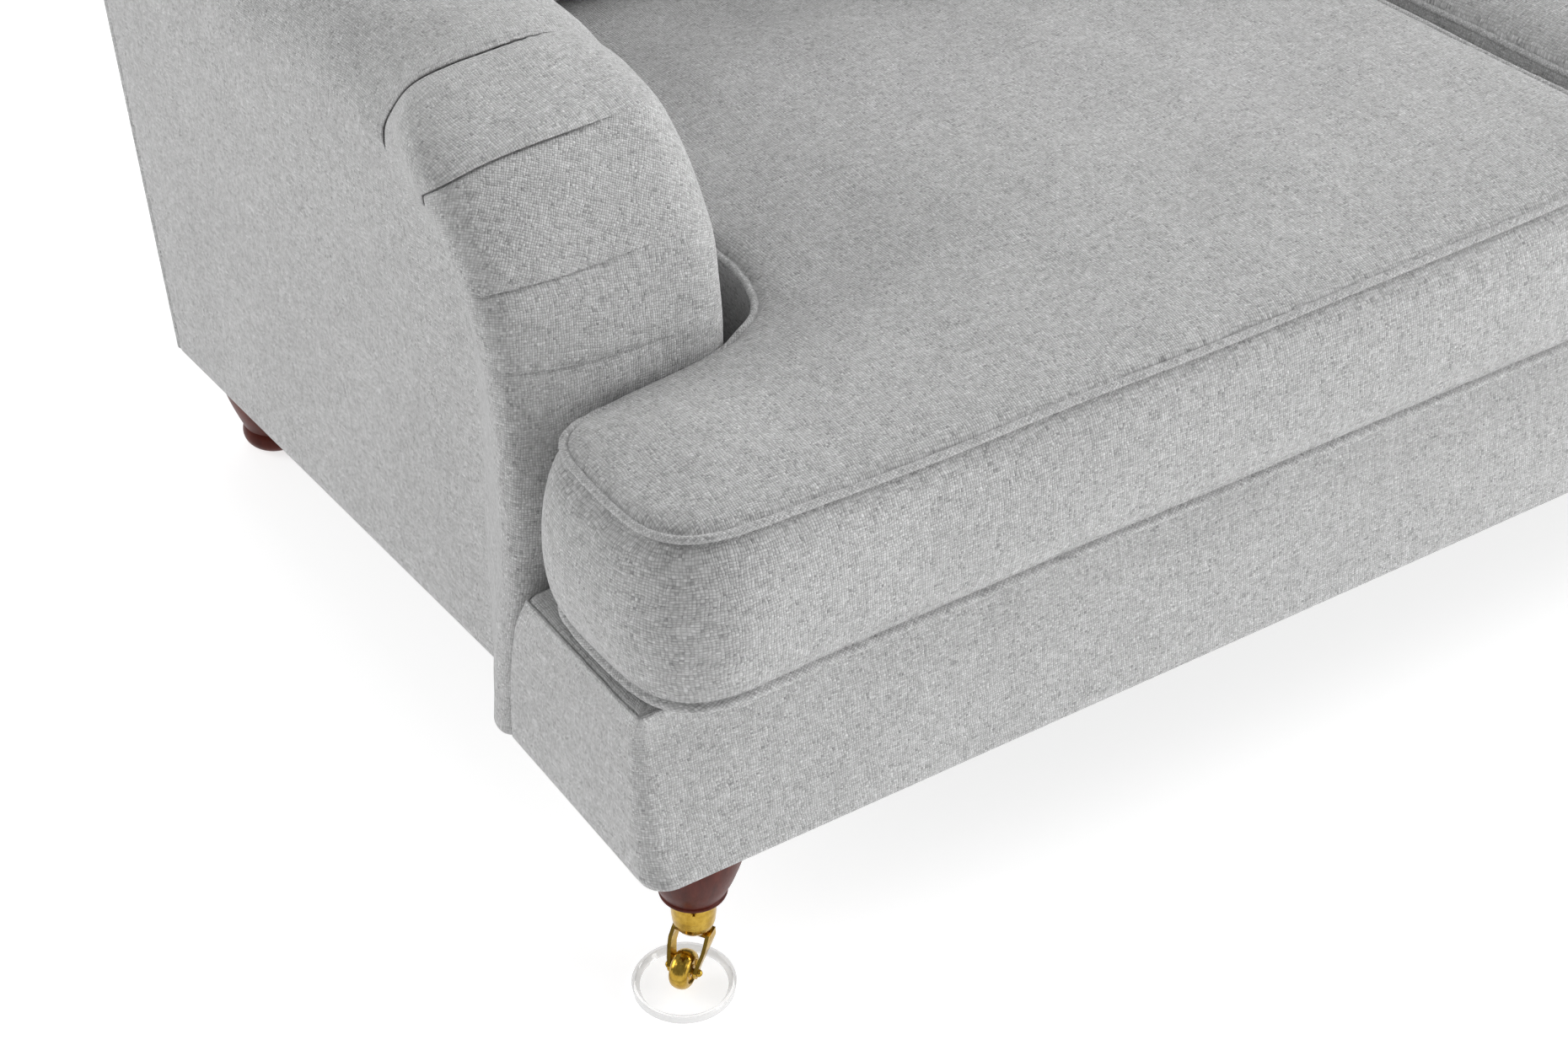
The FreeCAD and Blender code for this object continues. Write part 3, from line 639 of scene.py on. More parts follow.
    # inside panel, down behind the seat cushion
    Bi = P[:, -1]
    k = np.nonzero(Bi[:, 2] > .10)[0][0]
    Bi = Bi[k:]
    y1 = float(y_end(.10))
    zr = np.linspace(.10, Bi[-1, 2], 30)[1:-1]
    rear = np.stack([np.full(len(zr), -.701), y_end(zr), zr], 1)
    ys = np.linspace(Bi[0, 1], y1, 40)[1:]
    bot = np.stack([np.full(len(ys), -.701), ys, np.full(len(ys), .10)], 1)

    def inn(c):
        y, z = c[:, 0], c[:, 1]
        x = -.701 + .007 * smooth(.27, .36, z) + .012 * smooth(.20, .38, y) * smooth(.30, .42, z)
        return np.column_stack([x, y, z])

    rear = inn(rear[:, [1, 2]])
    edge = np.vstack([Bi, rear[::-1], bot[::-1]])
    e2 = edge[:, [1, 2]]
    sk.panel(edge, lambda e: e[:, [1, 2]], inn, hexes(e2, .022, .010, 4), lambda c: c + .9, flip=True)

    # the underside of the arm's padded front
    lowrow = P[0]
    keep = lowrow[:, 1] < .205
    ring = lowrow[keep]
    close = np.array([[ring[-1, 0], .205, ring[-1, 2]], [ring[0, 0], .205, ring[0, 2]]])
    edge = np.vstack([ring, close])
    edge[:, 2] = 0.0
    sk.panel(edge, lambda e: e[:, [0, 1]], lambda c: np.column_stack([c, np.zeros(len(c))]),
             hexes(edge[:, :2], .02, .008, 6), lambda c: c + .2)
    return sk


for side, flip in (("left", False), ("right", True)):
    new_piece("arm_cover_" + side, arm_skin(), CLOTH, "sofa_frame", mirror=flip)
    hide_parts("arm_upholstery_" + side)


# --------------------------------------------------------------- front border
BX, BY = 0.912, -0.080


def border_skin():
    """One cover round the front and both ends. Each row is the outline at one height."""
    # (height, outward offset, corner radius)
    prof = [(.0000, -.0320, .010), (.0000, -.0070, .016), (.0006, -.0034, .0185), (.0022, -.0012, .0195), (.0050, .0000, .0200),
            (.012, .0004, .0195), (.022, .0009, .0185), (.045, .0016, .0165), (.075, .0021, .0150), (.105, .0021, .0130), (.125, .0016, .0110),
            (.138, .0011, .0090), (.146, .0008, .0074), (.1510, .0006, .0060), (.1535, .0005, .0050), (.1552, .0008, .0044),
            (.1566, .0008, .0038), (.1577, .0002, .0032), (.1580, -.0009, .0028), (.1576, -.0019, .0026), (.1566, -.0025, .0026),
            (.1562, -.0030, .0026), (.1568, -.0036, .0026), (.1578, -.0044, .0026), (.1580, -.0056, .0026), (.1580, -.0085, .0026), (.1580, -.0130, .0026)]
    nf, nc, ns = 150, 15, 26
    y_rear = [(.0, .1465), (.04, .137), (.085, .126), (.123, .112), (.142, .101), (.1575, .090), (.17, .088)]
    rows, uvs = [], []
    for z, o, R in prof:
        ox, oy = BX + o, BY - o
        xs = np.linspace(0, ox - R, nf // 2 + 1)
        front = np.stack([xs, np.full(len(xs), oy)], 1)
        a = np.linspace(-np.pi / 2, 0, nc)
        cor = np.stack([ox - R + R * np.cos(a), oy + R + R * np.sin(a)], 1)
        yr = float(np.interp(z, *np.array(y_rear).T)) - .004
        ys = np.linspace(oy + R, yr, ns)
        side = np.stack([np.full(ns, ox), ys], 1)
        # the ends narrow a little to the rear
        side[:, 0] -= .046 * np.clip(ys + .055, 0, 1) * smooth(-.06, -.03, ys)
        tail = side[-1] + np.array([[-.0016, .0016], [-.0046, .0030], [-.012, .0040], [-.030, .0046]])
        half = np.vstack([front[:-1], cor, side[1:], tail])
        line = np.vstack([(half * [-1, 1])[::-1][:-1], half])
        rows.append(np.column_stack([line, np.full(len(line), z)]))
    P = np.array(rows)
    n = P.shape[1]
    c = n // 2
    # the front face has a slow unevenness
    x, z = P[..., 0], P[..., 2]
    body = smooth(0, .03, z) * smooth(.156, .12, z)
    wav = .0009 * ripple(x, z, 21, .08, .30) * body
    P[..., 1] -= wav * (P[..., 1] < BY + .01)
    # towards its corners the front bows back a little
    P[..., 1] += .0072 * np.exp(-np.maximum(BX - .018 - np.abs(x), 0) / .055) * smooth(.0, .02, z) * smooth(.157, .135, z) * smooth(BY + .03, BY + .005, P[..., 1])
    ref = P[8]
    u = arc(ref)
    u = u - u[c]
    v = np.concatenate([[0], np.cumsum(np.linalg.norm(np.diff(P[:, c], axis=0), axis=1))])
    UV = np.stack(np.meshgrid(u, v), -1)
    sk = Skin()
    sk.grid(P, spin(UV, 0.0))
    # flat top under the cushions, with a mitre line from each front corner
    ring = P[-1]
    ends = ring[0], ring[-1]
    e = [np.array([[BX - .035, ends[1][1], .158]]), np.array([[.7005, .118, .158], [.7005, .0224, .158]])]
    right = np.vstack(e)
    m = right[::-1] * [-1, 1, 1]
    xs = np.linspace(.7005, -.7005, 90)[1:-1]
    mid = np.stack([xs, np.full(len(xs), .0224), np.full(len(xs), .158)], 1)
    edge = np.vstack([ring, right, mid, m])
    e2 = edge[:, :2]
    inner = hexes(e2, .014, .006, 8)
    cor = np.array([BX - .0132, BY + .0132])
    for sx in (-1, 1):
        t = np.linspace(.004, .085, 22)
        for off in (-.0024, 0, .0024):
            p = np.stack([(cor[0] - t * .707 + off * .707) * sx, cor[1] + t * .707 + off * .707], 1)
            inner = np.vstack([inner[np.abs(edge_distance(inner, p, False)) > .002], p])
    q = inside(inner, e2) & (edge_distance(inner, e2) > .0015)

    def top(cc):
        d = edge_distance(cc, e2)
        z = np.full(len(cc), .158) - .0006 * (1 - np.exp(-d / .02))
        for sx in (-1, 1):
            a = np.array([cor[0] * sx, cor[1]])
            b = a + np.array([-.06 * sx, .06])
            z -= .0016 * np.exp(-(edge_distance(cc, np.array([a, b]), False) / .0016) ** 2)
        return np.column_stack([cc, z])

    sk.panel(edge, lambda g: g[:, :2], top, inner[q], lambda cc: spin(cc, 1.0) + .31)
    # underside behind the leg, up to the arm
    for sx in (-1, 1):
        xs = np.linspace(.700, .868, 14) * sx
        ys = np.linspace(.094, .1455, 6)
        G = np.stack(np.meshgrid(xs, ys), -1)
        sk.grid(np.concatenate([G, np.full(G.shape[:2] + (1,), .0002)], -1), G)
    return sk


border = new_piece("front_border_cover", border_skin(), CLOTH, "sofa_frame")
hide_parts("front_border")


# --------------------------------------------------------------- seat cushions
SEAM_TOP, SEAM_BOT = 0.2862, 0.1640


def cushion_outline():
    """Top seam line of the left cushion, counter-clockwise, and what each point adds towards
    the bottom seam and to the swell of the side band."""
    # (x, y, bottom seam further out by, side band swells by)
    K = [(-.0105, .690, .005, .0040), (-.0105, .600, .005, .0040), (-.0105, .300, .005, .0042), (-.0105, .000, .005, .0042),
         (-.0108, -.070, .005, .0050)]
    front = [(-.0135, -.0905, .008, .0080), (-.0245, -.0970, .0085, .0100), (-.060, -.0985, .0085, .0110),
             (-.250, -.0990, .0085, .0115), (-.500, -.0990, .0085, .0115), (-.700, -.0985, .0100, .0118), (-.790, -.0980, .0125, .0120),
             (-.825, -.0972, .0155, .0122), (-.8434, -.0948, .0190, .0125), (-.8590, -.0900, .0225, .0128), (-.8710, -.0822, .0245, .0135),
             (-.8795, -.0710, .0225, .0145), (-.8845, -.0575, .0195, .0160), (-.8865, -.0440, .0180, .0172), (-.8870, -.0200, .0175, .0178),
             (-.8860, .0100, .0175, .0178), (-.8835, .0420, .0160, .0160), (-.8790, .0600, .0120, .0120), (-.8710, .0735, .0080, .0070)]
    rear = [(-.8605, .0815, .0040, .0035), (-.8480, .0875, .0015, .0025), (-.8310, .0945, .0000, .0020), (-.8010, .1010, .0000, .0018),
            (-.7716, .1045, .0000, .0018), (-.7407, .1090, .0000, .0020), (-.7090, .1180, .0000, .0025), (-.6900, .1265, .0000, .0030),
            (-.6770, .1370, -.0070, .0015), (-.6680, .1500, -.0150, .0000), (-.6590, .1735, -.0220, .0000), (-.6530, .2025, -.0250, .0000),
            (-.6515, .2350, -.0240, .0000), (-.6560, .2800, -.0160, .0005), (-.6640, .3400, -.0070, .0025), (-.6710, .4100, .0000, .0050),
            (-.6740, .5000, .0030, .0060), (-.6745, .6300, .0030, .0060), (-.6740, .6700, .0030, .0060)]
    back = [(-.6660, .6980, .0030, .0060), (-.6460, .7080, .0030, .0060), (-.6000, .7100, .0030, .0060), (-.3400, .7105, .0030, .0060),
            (-.0600, .7100, .0030, .0060), (-.0260, .7060, .0040, .0050)]
    Q = np.array(K[::-1][::-1] + front + rear + back)
    # K runs forward along the joint, front goes outwards, rear goes back, back returns: clockwise from above
    Q = Q[::-1]
    ring = even_ring(Q, .002)
    ring = soften(ring, 2.6, True)
    return even_ring(ring, .0055)


# side band rows from the top seam to the bottom one: (fraction of the height, fixed offset out, drop in metres)
WELT = [(-.0042, .0006), (-.0033, -.0002), (-.0020, -.0009), (-.0004, -.0009), (.0011, -.0002), (.0020, .0012), (.0019, .0028),
        (.0008, .0041), (-.0012, .0048), (-.0027, .0056), (-.0020, .0066), (-.0002, .0076)]


def seat_skin(seed, full, rise):
    ring = cushion_outline()
    xy = ring[:, :2]
    n = len(xy)
    N = ring_normals(xy)
    s = arc(xy, True)[:-1]
    total = arc(xy, True)[-1]
    r = np.random.RandomState(seed)
    pucker = np.zeros(n)
    for k in range(40):
        q = int(total / (.010 + .022 * r.rand()))
        pucker += np.sin(2 * np.pi * q * s / total + r.rand() * 6.28)
    pucker /= 4.5
    slow = np.zeros(n)
    for k in range(8):
        q = r.randint(3, 22)
        slow += np.sin(2 * np.pi * q * s / total + r.rand() * 6.28)
    slow /= 2.0
    low, swell = ring[:, 2], ring[:, 3]
    H = SEAM_TOP - SEAM_BOT
    sk = Skin()
    rows, vs = [], []

    def add(t, out, z):
        base = xy + N * (low * t + out)[:, None]
        rows.append(np.column_stack([base, np.full(n, z) if np.isscalar(z) else z]))

    dj = lambda x: np.maximum(-x - .0105, 0)
    sunk = lambda x: -rise * np.exp(-dj(x) / .075)
    dome = lambda x: full * (1 - np.exp(-dj(x) / .052)) * np.exp(-(dj(x) / .22) ** 2)
    zt = SEAM_TOP + .0006 * slow - sunk(xy[:, 0]) * (1 - smooth(.47, .585, xy[:, 1]))
    # the seam dips where the ear is pressed against the arm's front
    press = smooth(-.870, -.812, xy[:, 0]) * smooth(-.690, -.722, xy[:, 0]) * smooth(.055, .092, xy[:, 1])
    zt = zt - .0055 * press
    zb = SEAM_BOT + .0003 * slow
    for o, dz in WELT:
        add(0, o + .00012 * pucker, zt - dz)
    t = np.linspace(0, 1, 20)[1:-1]
    h0, h1 = .0084, H - .0084
    for q in t:
        f = np.sin(np.pi * q ** .82) ** 0.60
        side = swell * f + .0007 * slow * f
        near = np.exp(-q * (h1 - h0) / .010) + np.exp(-(1 - q) * (h1 - h0) / .010)
        side = side + .00030 * pucker * near
        add((h0 + q * (h1 - h0)) / H, side, lerp(zt - h0, zb + h0, q))
    for o, dz in WELT[::-1]:
        add(1, o + .00012 * pucker, zb + dz)
    P = np.array(rows)
    P = np.concatenate([P, P[:, :1]], 1)
    u = np.append(s, total)
    v = np.concatenate([[0], np.cumsum(np.linalg.norm(np.diff(P[:, n // 3], axis=0), axis=1))])
    UV = np.stack(np.meshgrid(u, v), -1)
    k = len(WELT)
    sk.grid(P[:k], spin(UV[:k], 38.0) + .21)
    sk.grid(P[k - 1:-k + 1], UV[k - 1:-k + 1] + .47)
    sk.grid(P[-k:], spin(UV[-k:], 38.0) + .83)

    # crowned top and flatter bottom
    edge_top, edge_bot = P[0, :-1], P[-1, :-1]
    for edge, up in ((edge_top, True), (edge_bot, False)):
        e2 = edge[:, :2]
        en = ring_normals(e2)
        rings = []
        for d in (.0008, .0020, .0038, .0066, .0105, .0160):
            q = e2 - en * d
            q = q[edge_distance(q, e2) > d * .93]
            rings.append(q if d < .007 else q[::2])
        inner = np.vstack(rings + [hexes(e2, .0105 if up else .022, .022, seed + 5)])
        inner = inner[inside(inner, e2)]
        zmean = SEAM_TOP if up else SEAM_BOT
        nook = np.array([[-.832, .0940], [-.801, .101], [-.7407, .109], [-.712, .117]])

        def lift(c, up=up, e2=e2, zmean=zmean, edge=edge):
            d = edge_distance(c, e2)
            if up:
                rear = smooth(.47, .585, c[:, 1])
                crown = -.0006 * np.exp(-d / .0008) + .0046 * (1 - np.exp(-d / .0040)) + .0110 * (1 - np.exp(-d / .040)) + .0075 * smooth(0, .26, d)
                flat = -.0006 * np.exp(-d / .0008) + .0046 * (1 - np.exp(-d / .0040)) + .0055 * (1 - np.exp(-d / .03))
                away = smooth(0, .07, c[:, 1] + .10) * (1 - rear)
                z = zmean + lerp(crown, flat, rear) - sunk(c[:, 0]) * (1 - rear) + dome(c[:, 0]) * away
                z += (.0011 * ripple(c[:, 0], c[:, 1], seed + 1, .10, .30) + .0004 * ripple(c[:, 0], c[:, 1], seed + 2, .035, .08)) * smooth(0, .06, d)
                z -= .0056 * np.exp(-(edge_distance(c, nook, False) / .012) ** 2)
                # short puckers that run in from the seam
                j = np.argmin(((c[:, None, ::1] - e2[None, ::6]) ** 2).sum(-1), 1) * 6 if len(c) < 30000 else np.zeros(len(c), int)
                z += .00035 * pucker[j] * np.exp(-d / .010) * smooth(0, .003, d)
            else:
                z = zmean + .0006 * np.exp(-d / .0008) - .0046 * (1 - np.exp(-d / .0050))
            return np.column_stack([c, z])

        sk.panel(edge, lambda g: g[:, :2], lift, inner, (lambda c: spin(c, 1.5) + .05) if up else (lambda c: c + .5))
    return sk


for side, flip in (("left", False), ("right", True)):
    new_piece("seat_cushion_cover_" + side, seat_skin(31 if flip else 17, .035 if flip else .003, .0195 if flip else .0185), CLOTH, "seat_cushion_" + side, mirror=flip)
    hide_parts("seat_cushion_" + side)


# --------------------------------------------------------------- back cushions
CUSH_Z, CUSH_H, CUSH_W, CUSH_T = 0.3008, 0.4606, 0.6730, 0.150


def on_back(u, v, w):
    """Back cushion coordinates to the body frame: u across, v up, w forward of the inside back."""
    z = CUSH_Z + v
    return np.stack([u, BACK_Y - BACK_THICK - .0010 + RAKE * z - w, z], -1)


def pillow():
    """Two layers of cloth sewn at the edge and filled: returns (n, 3) in u, v, w, the faces,
    the thread coordinates and the edge loop."""
    nx, ny = 92, 64
    sx, sy = np.meshgrid(np.linspace(-1, 1, nx + 1), np.linspace(-1, 1, ny + 1))
    a, b = .372, .268
    cut = 1 - .05 * (sx * sx * sy * sy) ** 3
    X = a * sx * (1 + .045 * (1 - sy ** 2)) * cut
    Y = b * sy * (1 + .060 * (1 - sx ** 2)) * cut
    on_edge = (np.abs(sx) > 1 - 1e-9) | (np.abs(sy) > 1 - 1e-9)
    f_id = np.arange(X.size).reshape(X.shape)
    b_id = f_id.copy()
    b_id[~on_edge] = X.size + np.arange((~on_edge).sum())
    front = np.stack([X, Y, np.where(on_edge, 0, .004)], -1).reshape(-1, 3)
    backv = np.stack([X, Y, np.full(X.shape, -.004)], -1)[~on_edge]
    co = np.vstack([front, backv])
    uv = np.vstack([front[:, :2], backv[:, :2]])

    def quads(k):
        return np.stack([k[:-1, :-1], k[:-1, 1:], k[1:, 1:], k[1:, :-1]], -1).reshape(-1, 4)

    F = np.vstack([quads(f_id), quads(b_id)[:, ::-1]])
    nf = nx * ny
    loop = np.concatenate([f_id[0, :-1], f_id[:-1, -1], f_id[-1, :0:-1], f_id[:0:-1, 0]])
    r = np.random.RandomState(7)
    e = np.clip((1 - np.abs(sx) ** 2.6) * (1 - np.abs(sy) ** 2.4), 0, 1) ** .44 * .085
    plump = co.copy()
    plump[:X.size, 2] = e.ravel()
    plump[X.size:, 2] = -e[~on_edge]
    # the fill draws the sides of the sewn edge in, so the corners stand out a little
    draw = 1 - .018 * (1 - sy ** 2) ** 1.0 * np.abs(sx) ** 3 - .020 * (sx * sx * sy * sy) ** 3
    drawv = 1 - .026 * (1 - sx ** 2) ** 1.0 * np.abs(sy) ** 3 - .020 * (sx * sx * sy * sy) ** 3
    gx, gy = a * sx * draw, b * sy * drawv
    plump[:, 0] = np.concatenate([gx.ravel(), gx[~on_edge]])
    plump[:, 1] = np.concatenate([gy.ravel(), gy[~on_edge]])
    co[:, 2] += (r.rand(len(co)) - .5) * .0012 * np.sign(co[:, 2])
    me = bpy.data.meshes.new("pillow_sim")
    me.from_pydata(co.tolist(), [], F.tolist())
    o = bpy.data.objects.new("pillow_sim", me)
    sc = bpy.context.scene
    sc.collection.objects.link(o)
    m = o.modifiers.new("cloth", "CLOTH")
    s = m.settings
    s.quality = 7
    s.mass = 0.35
    s.tension_stiffness = s.compression_stiffness = 30
    s.shear_stiffness = 14
    s.bending_stiffness = 1.4
    s.tension_damping = s.compression_damping = s.shear_damping = 12
    s.bending_damping = 1.0
    s.air_damping = 4
    s.use_pressure = True
    s.uniform_pressure_force = 4.2
    s.effector_weights.gravity = 0.0
    m.collision_settings.use_collision = False
    m.collision_settings.use_self_collision = False
    m.point_cache.frame_start = 1
    m.point_cache.frame_end = 26
    sc.frame_start, sc.frame_end = 1, 26
    for k in range(1, 27):
        sc.frame_set(k)
    dg = bpy.context.evaluated_depsgraph_get()
    ev = o.evaluated_get(dg)
    em = ev.to_mesh()
    out = np.empty(len(em.vertices) * 3)
    em.vertices.foreach_get("co", out)
    out = out.reshape(-1, 3)
    ev.to_mesh_clear()
    bpy.data.objects.remove(o, do_unlink=True)
    bpy.data.meshes.remove(me)
    sc.frame_set(1)
    for j in range(3):
        k = (plump[:, j].max() - plump[:, j].min()) / (out[:, j].max() - out[:, j].min())
        out[:, j] = (out[:, j] - (out[:, j].max() + out[:, j].min()) / 2) * k
    return plump + (out - plump) * np.array([.16, .16, .34]), F, uv, loop, nf


PILLOW = pillow()


def softmax0(x, k):
    """Keeps x above 0 with a soft knee of size k."""
    return k * np.logaddexp(0, x / k)


def back_cushion_skin(seed):
    co, F, uv, loop, nf = PILLOW
    c = co - (co.max(0) + co.min(0)) / 2
    half = (co.max(0) - co.min(0)) / 2
    u = c[:, 0] / half[0] * CUSH_W / 2 * .9975
    v = c[:, 1] / half[1]
    w = c[:, 2] / half[2] * .094
    # the filling settles: a little fuller low down, flat where it stands and leans
    w = w * (1 + .10 * (1 - smooth(-1, .6, v)) - .04)
    v = (v * .5 + .5) * (CUSH_H + .004) - .004
    v = .0006 + softmax0(v - .0006, .0030)
    v = np.minimum(v, CUSH_H - .0012)
    wr = w + .062
    wr = .0006 + softmax0(wr - .0006, .0045)
    wr = np.minimum(wr, .1585)
    amp = .0013 * ripple(u, v, seed, .12, .32)
    wr = wr + amp * smooth(.02, .09, wr) * smooth(.1585, .150, wr)
    P = on_back(u - .0022 - CUSH_W / 2, v, wr)
    sk = Skin()
    V = np.asarray(P)
    UV = np.asarray(uv)
    for lo, hi, turn in ((0, nf, 1.0), (nf, len(F), -2.0)):
        sk.v.append(V if lo == 0 else np.zeros((0, 3)))
        sk.f += F[lo:hi].tolist()
        sk.uv.append(spin(UV, turn)[F[lo:hi]].reshape(-1, 2) + .19)
    sk.n = len(V)
    # self-piping along the sewn edge
    L = V[loop]
    L = soften(L, 1.0, True)
    s = arc(L, True)
    n = int(s[-1] / .005)
    t = np.linspace(0, s[-1], n, endpoint=False)
    Q = np.vstack([L, L[:1]])
    C = np.stack([np.interp(t, s, Q[:, j]) for j in range(3)], 1)
    T = np.roll(C, -1, 0) - np.roll(C, 1, 0)
    T /= np.linalg.norm(T, axis=1)[:, None]
    mid = V.mean(0)
    out = C - mid
    ax = np.array([0.0, -1.0, 0.0])
    out = out - (out @ ax)[:, None] * ax
    out = out - (out * T).sum(1)[:, None] * T
    out /= np.linalg.norm(out, axis=1)[:, None]
    out = soften(out, 3, True)
    B = np.cross(T, out)
    B /= np.linalg.norm(B, axis=1)[:, None]
    rad = .0026
    inset = np.clip((C[:, 2] - CUSH_Z - .0036) / .003, 0, 1)
    C = C - out * .0012
    C[:, 2] = np.maximum(C[:, 2], CUSH_Z + .0034)
    C[:, 0] = np.clip(C[:, 0], -.6762 + .003, -.0020 - .0028)
    C[:, 2] = np.minimum(C[:, 2], CUSH_Z + CUSH_H - .0030)
    k = np.linspace(0, 2 * np.pi, 11)
    G = C[None] + rad * (np.cos(k)[:, None, None] * out[None] + np.sin(k)[:, None, None] * B[None])
    G = np.concatenate([G, G[:, :1]], 1)
    tt = np.append(t, s[-1])
    sk.grid(G, spin(np.stack(np.broadcast_arrays(tt[None], (k * rad)[:, None]), -1), 42.0))
    return sk


for side, flip in (("left", False), ("right", True)):
    o = new_piece("back_cushion_cover_" + side, back_cushion_skin(43 if flip else 41), CLOTH, "back_cushion_" + side, mirror=flip)
    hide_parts("back_cushion_" + side)


# ------------------------------------------------------------------ the back
def outline_back():
    """Right half of the inside back, from the bottom centre round to the top centre, as (x, z, corner softness)."""
    R, n = .062, 14
    a = np.linspace(0, np.pi / 2, n)
    cx, cz = BACK_HALF - R, BACK_TOP - R
    side = [(.700, .1375, .0), (.700, .400, .0), (.702, .436, .0), (.712, .458, .0), (.735, .4715, .0), (.770, .4762, .0),
            (.800, .4764, .0), (BACK_HALF, .4766, .0), (BACK_HALF, .500, .14), (BACK_HALF, .530, .42), (BACK_HALF, .565, .78),
            (BACK_HALF, .600, 1.0)]
    corner = [(cx + R * math.cos(t), cz + R * math.sin(t), 1.0) for t in a]
    return np.array([(0, .1375, 0)] + side + corner + [(0, BACK_TOP, 1.0)])


def both_halves(H):
    """A closed counter-clockwise ring from its half with x >= 0."""
    M = H[::-1][1:-1] * np.array([-1] + [1] * (H.shape[1] - 1))
    return np.vstack([H, M])


def inside_back_skin():
    ring = even_ring(both_halves(outline_back()), .008)
    xz, k = ring[:, :2], ring[:, 2]
    N = ring_normals(xz)
    Ns = soften(N, 1.2, True)
    n = len(xz)
    R = .003 + .035 * soften(k, 1.5, True)
    rows, front = [], []
    for t in np.linspace(0, np.pi / 2, 12):
        q = xz - Ns * (R * (1 - np.sin(t)))[:, None]
        dep = R * (1 - np.cos(t))
        rows.append((q, dep))
    depth = BACK_THICK - PANEL
    for f in (.25, .5, .75, .93, 1.0):
        dep = R + (depth - .0016 - R) * f
        swell = .0012 * np.sin(np.pi * f) * k
        rows.append((xz + Ns * swell[:, None] - Ns * (.0012 if f == 1.0 else 0.0), dep))
    P = []
    for q, dep in rows:
        y = BACK_Y - BACK_THICK + RAKE * q[:, 1] + dep
        P.append(np.column_stack([q[:, 0], y, q[:, 1]]))
    P = np.array(P)
    P = np.concatenate([P, P[:, :1]], 1)
    s = arc(xz, True)
    v = np.concatenate([[0], np.cumsum(np.linalg.norm(np.diff(P[:, n // 2], axis=0), axis=1))])
    sk = Skin()
    sk.grid(P, np.stack(np.meshgrid(s, v), -1) + .3)
    edge = P[0, :-1]
    e2 = edge[:, [0, 2]]

    def face(c):
        d = edge_distance(c, e2)
        y = BACK_Y - BACK_THICK + RAKE * c[:, 1]
        up = smooth(.55, .70, c[:, 1])
        y = y - (.0015 * (1 - np.exp(-d / .05)) * up + .0008 * ripple(c[:, 0], c[:, 1], 61, .1, .3) * smooth(0, .05, d)) * smooth(.30, .35, c[:, 1])
        return np.column_stack([c[:, 0], y, c[:, 1]])

    sk.panel(edge, lambda g: g[:, [0, 2]], face, hexes(e2, .018, .010, 12), lambda c: spin(c, 0.5) + .11)
    return sk


back = new_piece("inside_back_cover", inside_back_skin(), CLOTH, "sofa_frame")
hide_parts("back_upholstery")


def outside_back_skin():
    R, n = .062, 14
    a = np.linspace(0, np.pi / 2, n)
    cx, cz = BACK_HALF - R, BACK_TOP - R
    H = [(0, .0), (.865, .0), (.865, .060), (.865, .200), (.865, .380), (.8640, .398), (.8590, .4195), (.8480, .4400), (.8365, .4540),
         (.8275, .4620), (.8205, .4652), (BACK_HALF + .0006, .4680), (BACK_HALF, .4760), (BACK_HALF, .600)]
    H += [(cx + R * math.cos(t), cz + R * math.sin(t)) for t in a] + [(0, BACK_TOP)]
    xz = even_ring(both_halves(np.array(H)), .007)
    N = ring_normals(xz)
    N = soften(N, .8, True)
    m = len(xz)
    rows = [(-.0030, .0002), (-.0014, .0008), (-.0004, .0018), (.0000, .0034), (.0002, .0055), (-.0004, .0078), (-.0018, .0098), (-.0042, .0114), (-.0072, .0121)]
    P = []
    for o, dep in rows:
        q = xz + N * o
        P.append(np.column_stack([q[:, 0], BACK_Y - PANEL + RAKE * q[:, 1] + dep, np.maximum(q[:, 1], 0.0)]))
    P = np.array(P)
    P = np.concatenate([P, P[:, :1]], 1)
    s = arc(xz, True)
    v = np.concatenate([[0], np.cumsum(np.linalg.norm(np.diff(P[:, 5], axis=0), axis=1))])
    sk = Skin()
    sk.grid(P, np.stack(np.meshgrid(s, v), -1) + .7)
    for last, sign in ((P[-1, :-1], 1), (P[0, :-1], 0)):
        e2 = last[:, [0, 2]]

        def face(c, sign=sign, e2=e2):
            d = edge_distance(c, e2)
            base = .0121 + .0026 * (1 - np.exp(-d / .03)) + .0012 * ripple(c[:, 0], c[:, 1], 71, .12, .4) * smooth(0, .10, d)
            y = BACK_Y - PANEL + RAKE * c[:, 1] + (base if sign else .0002)
            return np.column_stack([c[:, 0], y, c[:, 1]])

        sk.panel(last, lambda g: g[:, [0, 2]], face, hexes(e2, .018 if sign else .06, .010, 14), lambda c: spin(c, -.6) + .44)
    return sk


outer = new_piece("outside_back_cover", outside_back_skin(), CLOTH, "sofa_frame")
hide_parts("outside_back_panel")


